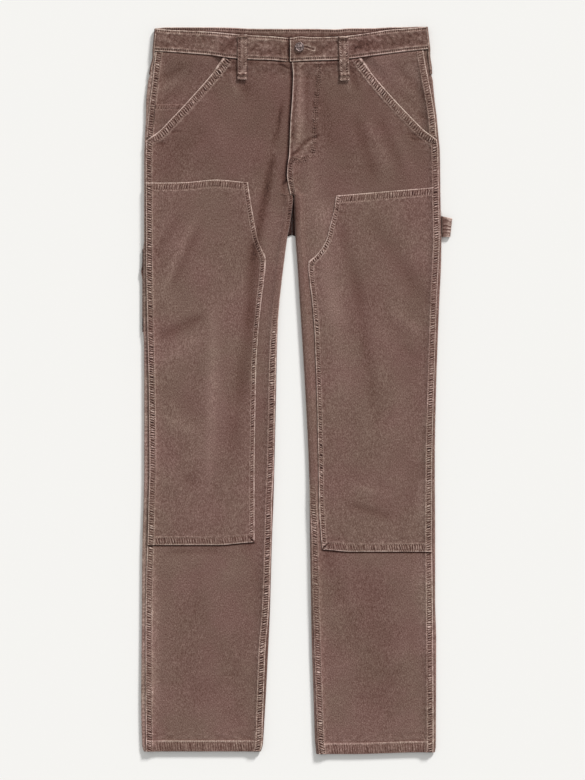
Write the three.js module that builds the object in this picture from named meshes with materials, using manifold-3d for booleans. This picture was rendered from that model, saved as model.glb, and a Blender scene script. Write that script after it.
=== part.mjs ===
// Carpenter pants lying flat on a surface, front side up.
// Millimetres. +X runs to the wearer's left, +Y from the hems to the waist, +Z up from the surface.
// Each leg is worked out in its own measure: u is the distance out from the centre line (x = 0),
// so the same functions build both legs. The back panel lies on the surface, rolls up at the
// side and the inseam, and the front panel laps over its rolled-in edges, as a felled seam does.
import * as THREE from 'three';
import Module from 'manifold-3d';
import { mergeVertices } from 'three/addons/utils/BufferGeometryUtils.js';

// Driving dimensions.
const CLOTH = 1.2;
const SEAM_GAP = 0.3;
const FOLD_RADIUS = 2.4;
const FELL_WIDTH = 10;
const FELL_SLOPE = 3;
const FELL_FOOT = 9;
const SLANT_BAND = 13;
const HEM_DEPTH = 16;
const HEM_RAISE = 0.6;
const SLANT_RAISE = 0.5;
const FRONT_MID_TOP = 4.4;
const FLY_LEVEL = 0.85;
const UNDERLAP = 9;
const FACING_MID_TOP = 2.7;
const FACING_UNDERLAP = 12;
const BAND_WALL = 1.8;
const BAND_RADIUS = 3.4;
const LOOP_WALL = 1.5;
const LOOP_WIDTH = 15;
const SIDE_LOOP_WALL = 1.2;
const SEAT_SEAM_X = 1.5;
const LEAST_STRIP = 0.6;
const LEAST_COLUMN = 0.3;
const CROTCH_BACK_Y = 774;
const CROTCH_FRONT_Y = 838;
const LAP_START_Y = 848;
const LAP_FULL_Y = 860;
const SLANT_END_Y = 917;
const STRIP_REACH = 7.2;
const SEGMENTS = 24;

// Heights that follow from them: the top of a rolled edge, and of a front lapped over it.
const ROLL_TOP = 2 * FOLD_RADIUS;
const FELL_TOP = ROLL_TOP + SEAM_GAP + CLOTH;
const LAP_RADIUS = FOLD_RADIUS + SEAM_GAP + CLOTH;
const LAP_MID_RADIUS = LAP_RADIUS - CLOTH / 2;
const BAND_TOP = 2 * BAND_RADIUS;
const LOOP_ROOM = SIDE_LOOP_WALL + SEAM_GAP;
const WAIST_TUCK = 0.8;

const lerp = (a, b, t) => a + (b - a) * t;
const clamp = (t) => Math.min(1, Math.max(0, t));
const ramp = (value, from, to) => clamp((value - from) / (to - from));
const smooth = (t) => t * t * (3 - 2 * t);

/** Rows of numbers as objects with named columns. */
function table(columns, rows) {
  return rows.map((row) => Object.fromEntries(columns.map((name, i) => [name, row[i]])));
}

/** Smooth curve through two columns of a table, without overshoot between its rows. */
function curve(rows, input, output) {
  const x = rows.map((row) => row[input]);
  const y = rows.map((row) => row[output]);
  const last = x.length - 1;
  const slope = x.slice(1).map((value, i) => (y[i + 1] - y[i]) / (value - x[i]));
  const tangent = x.map((value, i) => {
    if (i === 0 || i === last) return slope[Math.min(i, last - 1)];
    const [before, after] = [slope[i - 1], slope[i]];
    return before * after <= 0 ? 0 : (2 * before * after) / (before + after);
  });
  return (value) => {
    const at = Math.min(x[last], Math.max(x[0], value));
    let i = 0;
    while (i < last - 1 && at > x[i + 1]) i += 1;
    const span = x[i + 1] - x[i];
    const t = (at - x[i]) / span;
    const rise = y[i + 1] - y[i];
    const square = 3 * rise - (2 * tangent[i] + tangent[i + 1]) * span;
    const cubic = (tangent[i] + tangent[i + 1]) * span - 2 * rise;
    return y[i] + t * (tangent[i] * span + t * (square + t * cubic));
  };
}

// Side of each leg from hem to waist: outermost edge, and the felled ridge (the front's edge).
const RIGHT_SIDE = table(['y', 'side', 'ridge'], [
  [0, 221, 217.5],
  [10, 223.5, 217.5],
  [78, 225, 218.2],
  [198, 224, 218.2],
  [288, 223.5, 216.5],
  [318, 223, 215.2],
  [378, 221.2, 213.8],
  [423, 220.5, 212.5],
  [528, 220.5, 213.3],
  [618, 220.8, 215.2],
  [628, 221.6, 215.5],
  [756, 221.6, 217.5],
  [766, 220.6, 217.5],
  [888, 220.5, 218],
  [921, 219.5, 216.8],
  [948, 218, 214.5],
  [978, 217.5, 211.5],
  [1000, 215.3, 208.5],
  [1020, 213, 206.5],
  [1033, 210.7, 205],
  [1047, 208.2, 203.2],
  [1054, 208, 202.5],
]);
const LEFT_SIDE = table(['y', 'side', 'ridge'], [
  [-4, 215.5, 213],
  [10, 217.5, 213.8],
  [168, 218, 213],
  [228, 216.5, 212.5],
  [318, 216.5, 211.5],
  [438, 216, 212],
  [528, 217.5, 214.2],
  [603, 219.8, 216.5],
  [678, 222.8, 219],
  [738, 225.5, 222],
  [768, 225.8, 223.2],
  [828, 224.5, 222],
  [903, 223.5, 220.5],
  [918, 222, 218.7],
  [951, 219, 216],
  [981, 215.3, 211.5],
  [1008, 213, 206.3],
  [1035, 211, 201],
  [1048, 209.5, 198.8],
  [1057, 208.8, 197.5],
]);

// Inner edge of each leg below the crotch: its outline, and how far the front's edge has
// rolled over the inseam fold (below zero it lies in from the fold, on top).
const RIGHT_INSEAM = table(['y', 'inner', 'wrap'], [
  [0, 45.2, 0.5],
  [10, 42.3, 0.9],
  [48, 39.8, 0],
  [78, 38, -0.8],
  [153, 34.2, -1.8],
  [198, 32, 0],
  [228, 31, 0.8],
  [318, 28.5, 1.2],
  [378, 26.2, 0.2],
  [423, 25, 1.2],
  [528, 22.5, 1],
  [603, 21, 1.5],
  [640, 19.5, 2.4],
  [678, 16.5, 4],
  [708, 13.5, 5],
  [738, 9.8, 5],
  [772, 5.3, 5],
  [790, 2.3, 5],
  [828, 0.8, 5],
]);
const LEFT_INSEAM = table(['y', 'inner', 'wrap'], [
  [-4, 38.6, -1.2],
  [18, 36, -1.3],
  [78, 34, -1],
  [168, 31, -1.2],
  [228, 30, 0],
  [318, 28.5, 0.2],
  [378, 27.8, 2.4],
  [438, 26.3, 5],
  [528, 22, 5],
  [610, 17.2, 5],
  [678, 12.8, 5],
  [738, 9, 5],
  [772, 6.5, 5],
  [828, 4.5, 5],
]);

// Centre front line above the crotch: the left front's edge, the fly included.
const CENTRE_FRONT = table(['y', 'x'], [
  [838, -1.5],
  [848, -3.5],
  [865, -6],
  [880, -5.2],
  [895, -3],
  [948, -0.7],
  [978, 1.5],
  [993, 2.3],
  [1015, 3],
  [1036, 1.5],
]);

// Slanted front pocket edges.
const RIGHT_SLANT = table(['y', 'u'], [
  [917, 217.3],
  [921, 211.5],
  [932, 197],
  [948, 181.5],
  [980, 151.5],
  [1014, 121.5],
  [1042, 99],
]);
const LEFT_SLANT = table(['y', 'u'], [
  [917, 220.5],
  [921, 215],
  [933, 199.5],
  [954, 178.5],
  [981, 153],
  [1012, 126],
  [1042, 102.5],
]);

// Waistband across the garment: waist seam and top edge in front, seam and top edge at the back.
const WAIST = table(['x', 'seam', 'top', 'backSeam', 'backTop'], [
  [-210, 1051.5, 1085.5, 1051.5, 1085.5],
  [-182, 1050, 1083, 1050, 1086],
  [-152, 1047.8, 1081.5, 1049, 1086],
  [-121, 1045.3, 1080, 1048.5, 1086],
  [-91, 1041, 1077.3, 1048.5, 1085.5],
  [-61, 1038.8, 1074.8, 1048.5, 1084],
  [-30, 1037.8, 1073.2, 1048.5, 1083.7],
  [0, 1035.5, 1071, 1048.5, 1083.7],
  [14, 1036.3, 1073, 1048.5, 1083.7],
  [30, 1037, 1071.8, 1048.5, 1083.7],
  [66, 1038, 1072.5, 1048.5, 1083],
  [88, 1040, 1074.3, 1048.5, 1084.5],
  [118, 1044, 1078.5, 1048.5, 1084.5],
  [148, 1047.8, 1083, 1050, 1086],
  [178, 1051.5, 1085.3, 1052, 1086.5],
  [210, 1054.7, 1088.3, 1054.7, 1088.3],
]);
const BAND_SIDE = { rightLow: 208.2, rightHigh: 205, leftLow: 209.3, leftHigh: 205.5 };
const BAND_LEFT_END = -1.5;
const BAND_RIGHT_END = 24;
const BAND_DIP_FROM = -14;
const BAND_DIP_TO = -4;

// Knee panels: inner edge from the lower corner up, with the sloping shoulder by the thigh.
const RIGHT_KNEE = {
  edge: table(['y', 'u'], [
    [314, 54.8],
    [423, 54.8],
    [528, 53.2],
    [588, 51.8],
    [633, 48.8],
    [678, 44.3],
    [708, 40.5],
    [741, 38.2],
    [753, 43.5],
    [768, 49.5],
    [790, 54],
    [823, 60],
    [853, 64.5],
  ]),
  bottom: (u) => 310.5 + 4 * smooth(ramp(u, 110, 55)),
  top: (u) => 854 + 4.5 * Math.exp(-(((u - 112) / 34) ** 2)),
};
const LEFT_KNEE = {
  edge: table(['y', 'u'], [
    [302, 46.5],
    [333, 44.3],
    [378, 42],
    [430, 41.2],
    [498, 39.8],
    [573, 37.5],
    [633, 35.2],
    [678, 31.5],
    [708, 27.8],
    [734, 26.2],
    [745, 37.5],
    [756, 46.5],
    [771, 54],
    [790, 58.5],
    [813, 64.5],
    [834, 67.5],
  ]),
  bottom: (u) => 300.5 + 3 * smooth(ramp(u, 90, 46)),
  top: (u) => lerp(834.5, 847.5, ramp(u, 67, 222)),
};

// Soft folds of the fronts: from one point to another, half width, and height (troughs below 0).
const FOLD_COLUMNS = ['fromU', 'fromY', 'toU', 'toY', 'width', 'height'];
const RIGHT_FOLDS = table(FOLD_COLUMNS, [
  [16, 960, 42, 790, 14, -0.7],
  [40, 955, 66, 800, 18, 0.5],
  [150, 900, 120, 780, 30, -0.4],
  [100, 640, 108, 420, 30, 0.5],
  [165, 700, 160, 500, 30, -0.4],
  [120, 250, 130, 60, 32, 0.4],
]);
const LEFT_FOLDS = table(FOLD_COLUMNS, [
  [40, 950, 34, 800, 16, -0.6],
  [110, 940, 90, 860, 26, 0.4],
  [120, 680, 112, 470, 30, 0.5],
  [165, 620, 170, 430, 30, -0.4],
  [115, 250, 125, 60, 32, 0.4],
]);

// Rows of the panels, hem to waist. The last row of each panel follows the waist seam.
const LEG_ROWS = [16, 19, 78, 135, 198, 258, 318, 378, 440, 528, 603, 640, 678, 708, 738];
const FRONT_ROWS = [...LEG_ROWS, 772, 800, 828, 838, 848, 860, 880, 903, 917];
const SLANT_ROWS = [921, 923.5, 926, 931, 938, 948, 960, 978, 996, 1012, 1026];
const BACK_ROWS = [78, 135, 198, 258, 318, 378, 440, 528, 600, 618, 628, 640, 678, 700, 718, 738,
  756, 766, 771, 774, 830, 903, 960, 1008, 1015, 1030, 1041];
const BACK_FLAT_COLUMNS = [70, 96, 106, 165];
const TOOL_POCKET = { bottom: 630, top: 754.5, inner: 108, edgeAngle: 1.75 };
const TOOL_POCKET_LIFT = CLOTH + SEAM_GAP;
const COIN_POCKET_ROWS = [938, 948, 960, 972];
const KNEE_INSET = 0.6;

// The last row of a panel runs along the waist seam; its columns are those at this height.
const WAIST_ROW = 1041;
const BACK_WAIST_ROW = 1050;

// Small pieces.
const RIGHT_LOOP = { topU: 72.4, bottomU: 72.8, bottomY: 1008 };
const LEFT_LOOP = { topU: 78, bottomU: 80.3, bottomY: 1006.5 };
const SIDE_LOOP = {
  bottom: 1017, rightTop: 1085, leftTop: 1087.8, lowAngle: -0.55, panelAngle: 1.54, bandAngle: 1.17,
};
const HAMMER_LOOP = {
  bottom: 772.5, top: 804, slope: 0.22, lowReach: 239, highReach: 242, lowRadius: 1.8, highRadius: 2.4,
};
const BUTTON = { x: 12.75, y: 1057.2, radius: 7, shank: 2.2 };
const BUTTONHOLE = { eye: 3, slit: 2.2, end: 34.5, drop: 2.8 };

const waist = Object.fromEntries(
  ['seam', 'top', 'backSeam', 'backTop'].map((name) => [name, curve(WAIST, 'x', name)]),
);
const centreFront = curve(CENTRE_FRONT, 'y', 'x');

/** Everything that a leg's pieces need, as functions of the height y along the garment. */
function makeLeg(sign, sides, inseams, slants, folds, hem) {
  const inner = curve(inseams, 'y', 'inner');
  const inseamWrap = curve(inseams, 'y', 'wrap');
  const belowFork = (y) => y < CROTCH_FRONT_Y - 2;
  const slant = curve(slants, 'y', 'u');
  const isLeft = sign > 0;
  const lap = (y) => (UNDERLAP + SEAM_GAP) * ramp(y, LAP_START_Y, LAP_FULL_Y) - SEAM_GAP;
  const foldReach = (y) => {
    const angle = Math.max(0, inseamWrap(y)) / LAP_MID_RADIUS;
    return Math.max(FOLD_RADIUS, LAP_RADIUS * Math.sin(angle));
  };
  return {
    sign,
    folds,
    hem,
    isLeft,
    side: curve(sides, 'y', 'side'),
    ridge: curve(sides, 'y', 'ridge'),
    slant: (y) => (y > SLANT_END_Y ? slant(y) : Infinity),
    wrap: (y) => (belowFork(y) ? inseamWrap(y) : 0),
    // Where the inseam fold turns over, measured out from the centre line.
    foldAt: (y) => {
      if (belowFork(y)) return inner(y) + foldReach(y);
      return isLeft ? centreFront(y) : -centreFront(y) - lap(y);
    },
    innerLevel: (y) => {
      if (belowFork(y)) return 1;
      return isLeft ? FLY_LEVEL : 0;
    },
    seatU: isLeft ? SEAT_SEAM_X + SEAM_GAP / 2 : SEAM_GAP / 2 - SEAT_SEAM_X,
    point: (u, y, z) => new THREE.Vector3(sign * u, y, z),
    seam: (u) => waist.seam(sign * u),
    backSeam: (u) => waist.backSeam(sign * u),
    hasToolPocket: !isLeft,
  };
}

const leftHem = (u) => -3.3 + 2.7 * smooth(ramp(u, 90, 200));
const rightHem = () => 0.6;
const RIGHT = makeLeg(-1, RIGHT_SIDE, RIGHT_INSEAM, RIGHT_SLANT, RIGHT_FOLDS, rightHem);
const LEFT = makeLeg(1, LEFT_SIDE, LEFT_INSEAM, LEFT_SLANT, LEFT_FOLDS, leftHem);

/** Share of the felled height at a distance in from the ridge: flat, then a sloped foot. */
function felledRise(distance) {
  const step = 0.55;
  if (distance <= FELL_WIDTH) return 1;
  if (distance <= FELL_WIDTH + FELL_SLOPE) return 1 - (step * (distance - FELL_WIDTH)) / FELL_SLOPE;
  return (1 - step) * (1 - ramp(distance, FELL_WIDTH + FELL_SLOPE, FELL_WIDTH + FELL_FOOT));
}

/** Height that the soft folds add at a point, faded out toward the seams. */
function foldHeight(leg, u, y) {
  let height = 0;
  for (const fold of leg.folds) {
    const along = new THREE.Vector2(fold.toU - fold.fromU, fold.toY - fold.fromY);
    const from = new THREE.Vector2(u - fold.fromU, y - fold.fromY);
    const t = from.dot(along) / along.lengthSq();
    const across = from.cross(along) / along.length();
    const ends = smooth(ramp(t, -0.25, 0.2)) * smooth(ramp(t, 1.25, 0.8));
    height += fold.height * ends * Math.exp(-((across / fold.width) ** 2));
  }
  const inside = ramp(leg.ridge(y) - u, 20, 45) * ramp(u - leg.foldAt(y), 16, 30);
  return height * inside;
}

/** Top of the front panel's plain cloth. */
function frontTop(leg, u, y) {
  const outer = felledRise(leg.ridge(y) - u);
  const inner = felledRise(u - leg.foldAt(y) + leg.wrap(y)) * leg.innerLevel(y);
  return FRONT_MID_TOP + (FELL_TOP - FRONT_MID_TOP) * Math.max(outer, inner) + foldHeight(leg, u, y);
}

/** Top of a pocket facing, which lies lower and climbs over the side seam in the same way. */
function facingTop(leg, u, y) {
  return lerp(FACING_MID_TOP, FELL_TOP, felledRise(leg.ridge(y) - u));
}

/** Closed thin solid between two grids of points, outer[row][column] and inner[row][column]. */
function shellGeometry(outer, inner) {
  const rows = outer.length;
  const columns = outer[0].length;
  const positions = [outer, inner].flat(2).flatMap((p) => [p.x, p.y, p.z]);
  const at = (layer, r, c) => (layer * rows + r) * columns + c;
  const triangles = [];
  const quad = (a, b, c, d) => triangles.push(a, b, c, a, c, d);
  const [endRow, endColumn] = [rows - 1, columns - 1];
  for (let r = 0; r < endRow; r += 1) {
    for (let c = 0; c < endColumn; c += 1) {
      quad(at(0, r, c), at(0, r, c + 1), at(0, r + 1, c + 1), at(0, r + 1, c));
      quad(at(1, r, c), at(1, r + 1, c), at(1, r + 1, c + 1), at(1, r, c + 1));
    }
    quad(at(0, r, 0), at(0, r + 1, 0), at(1, r + 1, 0), at(1, r, 0));
    quad(at(0, r + 1, endColumn), at(0, r, endColumn), at(1, r, endColumn), at(1, r + 1, endColumn));
  }
  for (let c = 0; c < endColumn; c += 1) {
    quad(at(0, 0, c + 1), at(0, 0, c), at(1, 0, c), at(1, 0, c + 1));
    quad(at(0, endRow, c), at(0, endRow, c + 1), at(1, endRow, c + 1), at(1, endRow, c));
  }
  const geometry = new THREE.BufferGeometry();
  geometry.setAttribute('position', new THREE.Float32BufferAttribute(positions, 3));
  geometry.setIndex(facesOut(positions, triangles));
  return geometry;
}

/** The triangles turned so that they face out of the solid. */
function facesOut(positions, triangles) {
  const corner = (i) => new THREE.Vector3().fromArray(positions, 3 * triangles[i]);
  let volume = 0;
  for (let i = 0; i < triangles.length; i += 3) {
    volume += corner(i).dot(corner(i + 1).cross(corner(i + 2)));
  }
  return volume > 0 ? triangles : triangles.reverse();
}

/** Solid from a function that gives the outer and inner point of each row and column. */
function sheet(rowCount, columnCount, pointPair) {
  const outer = [];
  const inner = [];
  for (let r = 0; r < rowCount; r += 1) {
    const pairs = Array.from({ length: columnCount }, (unused, c) => pointPair(r, c));
    outer.push(pairs.map((pair) => pair[0]));
    inner.push(pairs.map((pair) => pair[1]));
  }
  return shellGeometry(outer, inner);
}

/** Factor from a width square to the pocket edge to the same width measured along a row. */
function slantLean(leg, y) {
  return Math.hypot(1, (leg.slant(y + 1) - leg.slant(y - 1)) / 2);
}

/** Places along the front's cloth in one row, from its inner edge to its outer edge. */
function frontColumns(leg, y) {
  const ridge = leg.ridge(y);
  const outerEdge = Math.min(ridge, leg.slant(y));
  const start = leg.foldAt(y) - leg.wrap(y);
  const inner = [0, 1.7, 3.4, 5.1, FELL_WIDTH, FELL_WIDTH + FELL_SLOPE, FELL_WIDTH + FELL_FOOT];
  const onSeam = ridge - outerEdge < FELL_WIDTH - 2;
  const band = SLANT_BAND * slantLean(leg, y);
  const outer = onSeam
    ? [ridge - FELL_WIDTH - FELL_FOOT, ridge - FELL_WIDTH - FELL_SLOPE, ridge - FELL_WIDTH, outerEdge]
    : [outerEdge - band - FELL_FOOT, outerEdge - band - FELL_SLOPE, outerEdge - band, outerEdge];
  const from = start + inner[inner.length - 1];
  const middle = [1, 2, 3, 4, 5].map((i) => lerp(from, outer[0], i / 6));
  return [...inner.map((step) => start + step), ...middle, ...outer];
}

/** Right or left front: one cloth from the hem to the waist seam, fly and pocket edge included. */
function frontPanel(leg) {
  const rows = [0, ...FRONT_ROWS, ...SLANT_ROWS, WAIST_ROW];
  const columns = rows.map((y) => frontColumns(leg, y));
  const last = rows.length - 1;
  return sheet(rows.length, columns[0].length, (r, c) => {
    const fold = leg.foldAt(rows[r]);
    const place = columns[r][c];
    const onSlant = leg.slant(rows[r]) < leg.ridge(rows[r]) && c >= columns[r].length - 2;
    if (place < fold) {
      const angle = (fold - place) / LAP_MID_RADIUS;
      const around = (radius) => leg.point(
        fold - radius * Math.sin(angle),
        r === 0 ? leg.hem(place) : rows[r],
        FOLD_RADIUS + radius * Math.cos(angle),
      );
      return [around(LAP_RADIUS), around(LAP_RADIUS - CLOTH)];
    }
    let y = rows[r];
    if (r === 0) y = leg.hem(place);
    if (r === last) y = leg.seam(place) - SEAM_GAP;
    const top = frontTop(leg, place, y);
    const hemRaise = y <= HEM_DEPTH ? HEM_RAISE : 0;
    const raise = onSlant ? SLANT_RAISE : hemRaise;
    return [leg.point(place, y, top + raise), leg.point(place, y, top - CLOTH)];
  });
}

/** How far the back's underside is lifted to lie on the tool pocket. */
function pocketLift(leg, u, y) {
  if (!leg.hasToolPocket) return 0;
  const along = ramp(y, TOOL_POCKET.bottom - 12, TOOL_POCKET.bottom - 2)
    * ramp(y, TOOL_POCKET.top + 11.5, TOOL_POCKET.top + 1.5);
  return TOOL_POCKET_LIFT * along * ramp(u, TOOL_POCKET.inner - 12, TOOL_POCKET.inner - 2);
}

/** Centre and radius of the back's roll at the side, in one row. */
function sideRoll(leg, y) {
  const radius = (ROLL_TOP - pocketLift(leg, leg.side(y), y)) / 2;
  const loopRoom = LOOP_ROOM * ramp(y, SIDE_LOOP.bottom - 9, SIDE_LOOP.bottom - 2);
  const tuck = WAIST_TUCK * ramp(y, SIDE_LOOP.bottom + 9, WAIST_ROW);
  return { radius, u: leg.side(y) - radius - loopRoom - tuck, z: ROLL_TOP - radius };
}

/** Centre of the waistband's roll at one side, from its seam (level 0) to its top edge (1). */
function bandTurn(isLeft, level) {
  const [low, high] = isLeft
    ? [BAND_SIDE.leftLow, BAND_SIDE.leftHigh]
    : [BAND_SIDE.rightLow, BAND_SIDE.rightHigh];
  return lerp(low, high, level) - BAND_RADIUS - LOOP_ROOM;
}

/** Right or left back: flat on the surface, rolled over at the side and along the inseam. */
function backPanel(leg) {
  const rows = [0, ...BACK_ROWS, BACK_WAIST_ROW];
  const last = rows.length - 1;
  const leastCurl = Math.PI / 9;
  const arc = [0, 0.25, 0.5, 0.75, 1];
  const outline = rows.map((y) => {
    const atSeat = y >= CROTCH_BACK_Y;
    const curl = lerp(leastCurl, Math.PI, ramp(y, CROTCH_BACK_Y - 3, 700));
    const strip = lerp(LEAST_STRIP, STRIP_REACH - leg.wrap(y), ramp(y, 705, 678));
    const seatReach = FOLD_RADIUS * Math.sin(leastCurl) + LEAST_STRIP * Math.cos(leastCurl);
    const innerU = atSeat ? leg.seatU + seatReach : leg.foldAt(y);
    const innerPair = (angle, length) => [FOLD_RADIUS, FOLD_RADIUS - CLOTH].map((radius) => [
      innerU - radius * Math.sin(angle) - length * Math.cos(angle),
      FOLD_RADIUS - radius * Math.cos(angle) + length * Math.sin(angle),
    ]);
    const side = sideRoll(leg, y);
    const outerPair = (angle) => [side.radius, side.radius - CLOTH].map((radius) => [
      side.u + radius * Math.sin(angle),
      side.z - radius * Math.cos(angle),
    ]);
    const flat = BACK_FLAT_COLUMNS.map((u) => {
      const lift = pocketLift(leg, u, y);
      return [[u, lift], [u, lift + CLOTH]];
    });
    const stripEnd = leg.ridge(y) - STRIP_REACH;
    return [
      innerPair(curl, strip),
      ...arc.map((t) => innerPair(curl * (1 - t), 0)),
      ...flat,
      ...arc.map((t) => outerPair(Math.PI * t)),
      [[stripEnd, ROLL_TOP], [stripEnd, ROLL_TOP - CLOTH]],
    ];
  });
  return sheet(rows.length, outline[0].length, (r, c) => outline[r][c].map(([u, z], layer) => {
    let y = rows[r];
    if (r === 0) y = leg.hem(outline[r][c][0][0]);
    if (r === last) {
      const under = outline[r][c][0][1] < FOLD_RADIUS;
      y = (under ? leg.backSeam(u) : leg.seam(u)) - SEAM_GAP;
    }
    return leg.point(u, y, z);
  }));
}

/** Pocket facing: shows above the slanted edge and runs on under the front. */
function pocketFacing(leg) {
  const rows = [...SLANT_ROWS, WAIST_ROW];
  const last = rows.length - 1;
  const columns = rows.map((y) => {
    const ridge = leg.ridge(y === WAIST_ROW ? WAIST_ROW + FELL_WIDTH : y);
    const underlap = lerp(-SEAM_GAP * slantLean(leg, y), FACING_UNDERLAP, ramp(y, 938, 960));
    const width = ridge - leg.slant(y) + underlap;
    const foot = FELL_WIDTH + FELL_FOOT;
    const steps = [0, FELL_WIDTH, FELL_WIDTH + FELL_SLOPE, foot];
    const rest = [1, 2, 3].map((i) => lerp(Math.min(foot, width), width, i / 3));
    const places = [...steps, ...rest];
    return places.map((step, i) => ridge - Math.min(step, width - LEAST_COLUMN * (places.length - 1 - i)));
  });
  return sheet(rows.length, columns[0].length, (r, c) => {
    const u = columns[r][c];
    const y = r === last ? leg.seam(u) - SEAM_GAP : rows[r];
    const top = facingTop(leg, u, y);
    return [leg.point(u, y, top), leg.point(u, y, top - CLOTH)];
  });
}

/** Small coin pocket on the right facing, cut off by the slanted edge. */
function coinPocket(leg) {
  const columns = COIN_POCKET_ROWS.map((y) => {
    const ridge = leg.ridge(y);
    const innerEdge = leg.slant(y) + 1.5 * SEAM_GAP * slantLean(leg, y);
    const foot = ridge - FELL_WIDTH - FELL_FOOT;
    const fellEdge = ridge - FELL_WIDTH;
    return [fellEdge, fellEdge - FELL_SLOPE, foot, lerp(foot, innerEdge, 0.5), innerEdge];
  });
  return sheet(COIN_POCKET_ROWS.length, columns[0].length, (r, c) => {
    const u = columns[r][c];
    const y = COIN_POCKET_ROWS[r];
    const base = facingTop(leg, u, y) + SEAM_GAP;
    return [leg.point(u, y, base + CLOTH), leg.point(u, y, base)];
  });
}

/** Knee panel: lies on the front, its points moved out from the front's own. */
function kneePanel(leg, knee) {
  const inside = knee.edge.slice(1, -1).map((row) => row.y);
  const rows = [knee.edge[0].y, ...inside, knee.edge[knee.edge.length - 1].y];
  const last = rows.length - 1;
  const edge = curve(knee.edge, 'y', 'u');
  const columns = rows.map((y) => {
    const ridge = leg.ridge(y);
    const foot = ridge - FELL_WIDTH - FELL_FOOT;
    const middle = [0, 1, 2, 3, 4, 5].map((i) => lerp(edge(y), foot, i / 5));
    return [...middle, foot + FELL_FOOT - FELL_SLOPE, ridge - FELL_WIDTH, ridge - KNEE_INSET];
  });
  return sheet(rows.length, columns[0].length, (r, c) => {
    const u = columns[r][c];
    let y = rows[r];
    if (r === 0) y = knee.bottom(u);
    if (r === last) y = knee.top(u);
    const base = frontTop(leg, u, y) + SEAM_GAP;
    return [leg.point(u, y, base + CLOTH), leg.point(u, y, base)];
  });
}

/** Waistband: one band from the left end round the back to the right end, which tucks under. */
function waistband() {
  const levels = [0, 0.5, 1];
  const front = [0.08, 0.16, 0.3, 0.42, 0.55, 0.7, 0.85];
  const arc = [0, 1, 2, 3, 4, 5].map((i) => (Math.PI * i) / 5);
  const outlines = levels.map((level) => {
    const leftTurn = bandTurn(true, level);
    const rightTurn = bandTurn(false, level);
    const flatPair = (x, z) => ({ x: [x, x], z: [z, z - BAND_WALL] });
    const underPair = (x) => ({ x: [x, x], z: [0, BAND_WALL] });
    const arcPair = (sign, angle) => {
      const radii = [BAND_RADIUS, BAND_RADIUS - BAND_WALL];
      return {
        x: radii.map((radius) => sign * ((sign > 0 ? leftTurn : rightTurn) + radius * Math.sin(angle))),
        z: radii.map((radius) => BAND_RADIUS + radius * Math.cos(angle)),
      };
    };
    const flatColumns = [...BACK_FLAT_COLUMNS].reverse();
    const under = [...flatColumns, 0, ...BACK_FLAT_COLUMNS.map((u) => -u)].map(underPair);
    return [
      flatPair(BAND_LEFT_END, BAND_TOP),
      ...front.map((share) => flatPair(lerp(BAND_LEFT_END, leftTurn, share), BAND_TOP)),
      ...arc.map((angle) => arcPair(1, angle)),
      ...under,
      ...[...arc].reverse().map((angle) => arcPair(-1, angle)),
      ...[...front].reverse().map((share) => flatPair(lerp(BAND_DIP_FROM, -rightTurn, share), BAND_TOP)),
      flatPair(BAND_DIP_FROM, BAND_TOP),
      flatPair(BAND_DIP_TO, BAND_TOP - BAND_WALL - SEAM_GAP),
      flatPair(BAND_RIGHT_END / 2, BAND_TOP - BAND_WALL - SEAM_GAP),
      flatPair(BAND_RIGHT_END, BAND_TOP - BAND_WALL - SEAM_GAP),
    ];
  });
  return sheet(levels.length, outlines[0].length, (r, c) => [0, 1].map((layer) => {
    const x = outlines[r][c].x[layer];
    const isBack = outlines[r][c].z[0] < BAND_RADIUS;
    const low = isBack ? waist.backSeam(x) : waist.seam(x);
    const high = isBack ? waist.backTop(x) : waist.top(x);
    return new THREE.Vector3(x, lerp(low, high, levels[r]), outlines[r][c].z[layer]);
  }));
}

/** Slot that the button's shank stands in, cut through the left end of the waistband only. */
function buttonhole() {
  const shape = new THREE.Shape();
  const neck = Math.asin(BUTTONHOLE.slit / 2 / BUTTONHOLE.eye);
  shape.absarc(BUTTON.x, BUTTON.y, BUTTONHOLE.eye, neck, 2 * Math.PI - neck);
  shape.lineTo(BUTTONHOLE.end, BUTTON.y - BUTTONHOLE.drop - BUTTONHOLE.slit / 2);
  shape.lineTo(BUTTONHOLE.end, BUTTON.y - BUTTONHOLE.drop + BUTTONHOLE.slit / 2);
  const depth = BAND_WALL + SEAM_GAP;
  const cutter = new THREE.ExtrudeGeometry(shape, { depth, bevelEnabled: false, curveSegments: 12 });
  cutter.translate(0, 0, BAND_TOP - BAND_WALL - SEAM_GAP / 2);
  return cutter;
}

/** One solid with another cut out of it. */
function cutOut(geometry, cutter) {
  const solid = (shape) => {
    const bare = shape.clone();
    bare.deleteAttribute('normal');
    bare.deleteAttribute('uv');
    const merged = mergeVertices(bare, 1e-4);
    return new wasm.Manifold(new wasm.Mesh({
      numProp: 3,
      vertProperties: new Float32Array(merged.attributes.position.array),
      triVerts: new Uint32Array(merged.index.array),
    }));
  };
  const mesh = solid(geometry).subtract(solid(cutter)).getMesh();
  const result = new THREE.BufferGeometry();
  result.setAttribute('position', new THREE.BufferAttribute(new Float32Array(mesh.vertProperties), 3));
  result.setIndex(new THREE.BufferAttribute(new Uint32Array(mesh.triVerts), 1));
  return result;
}

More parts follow.
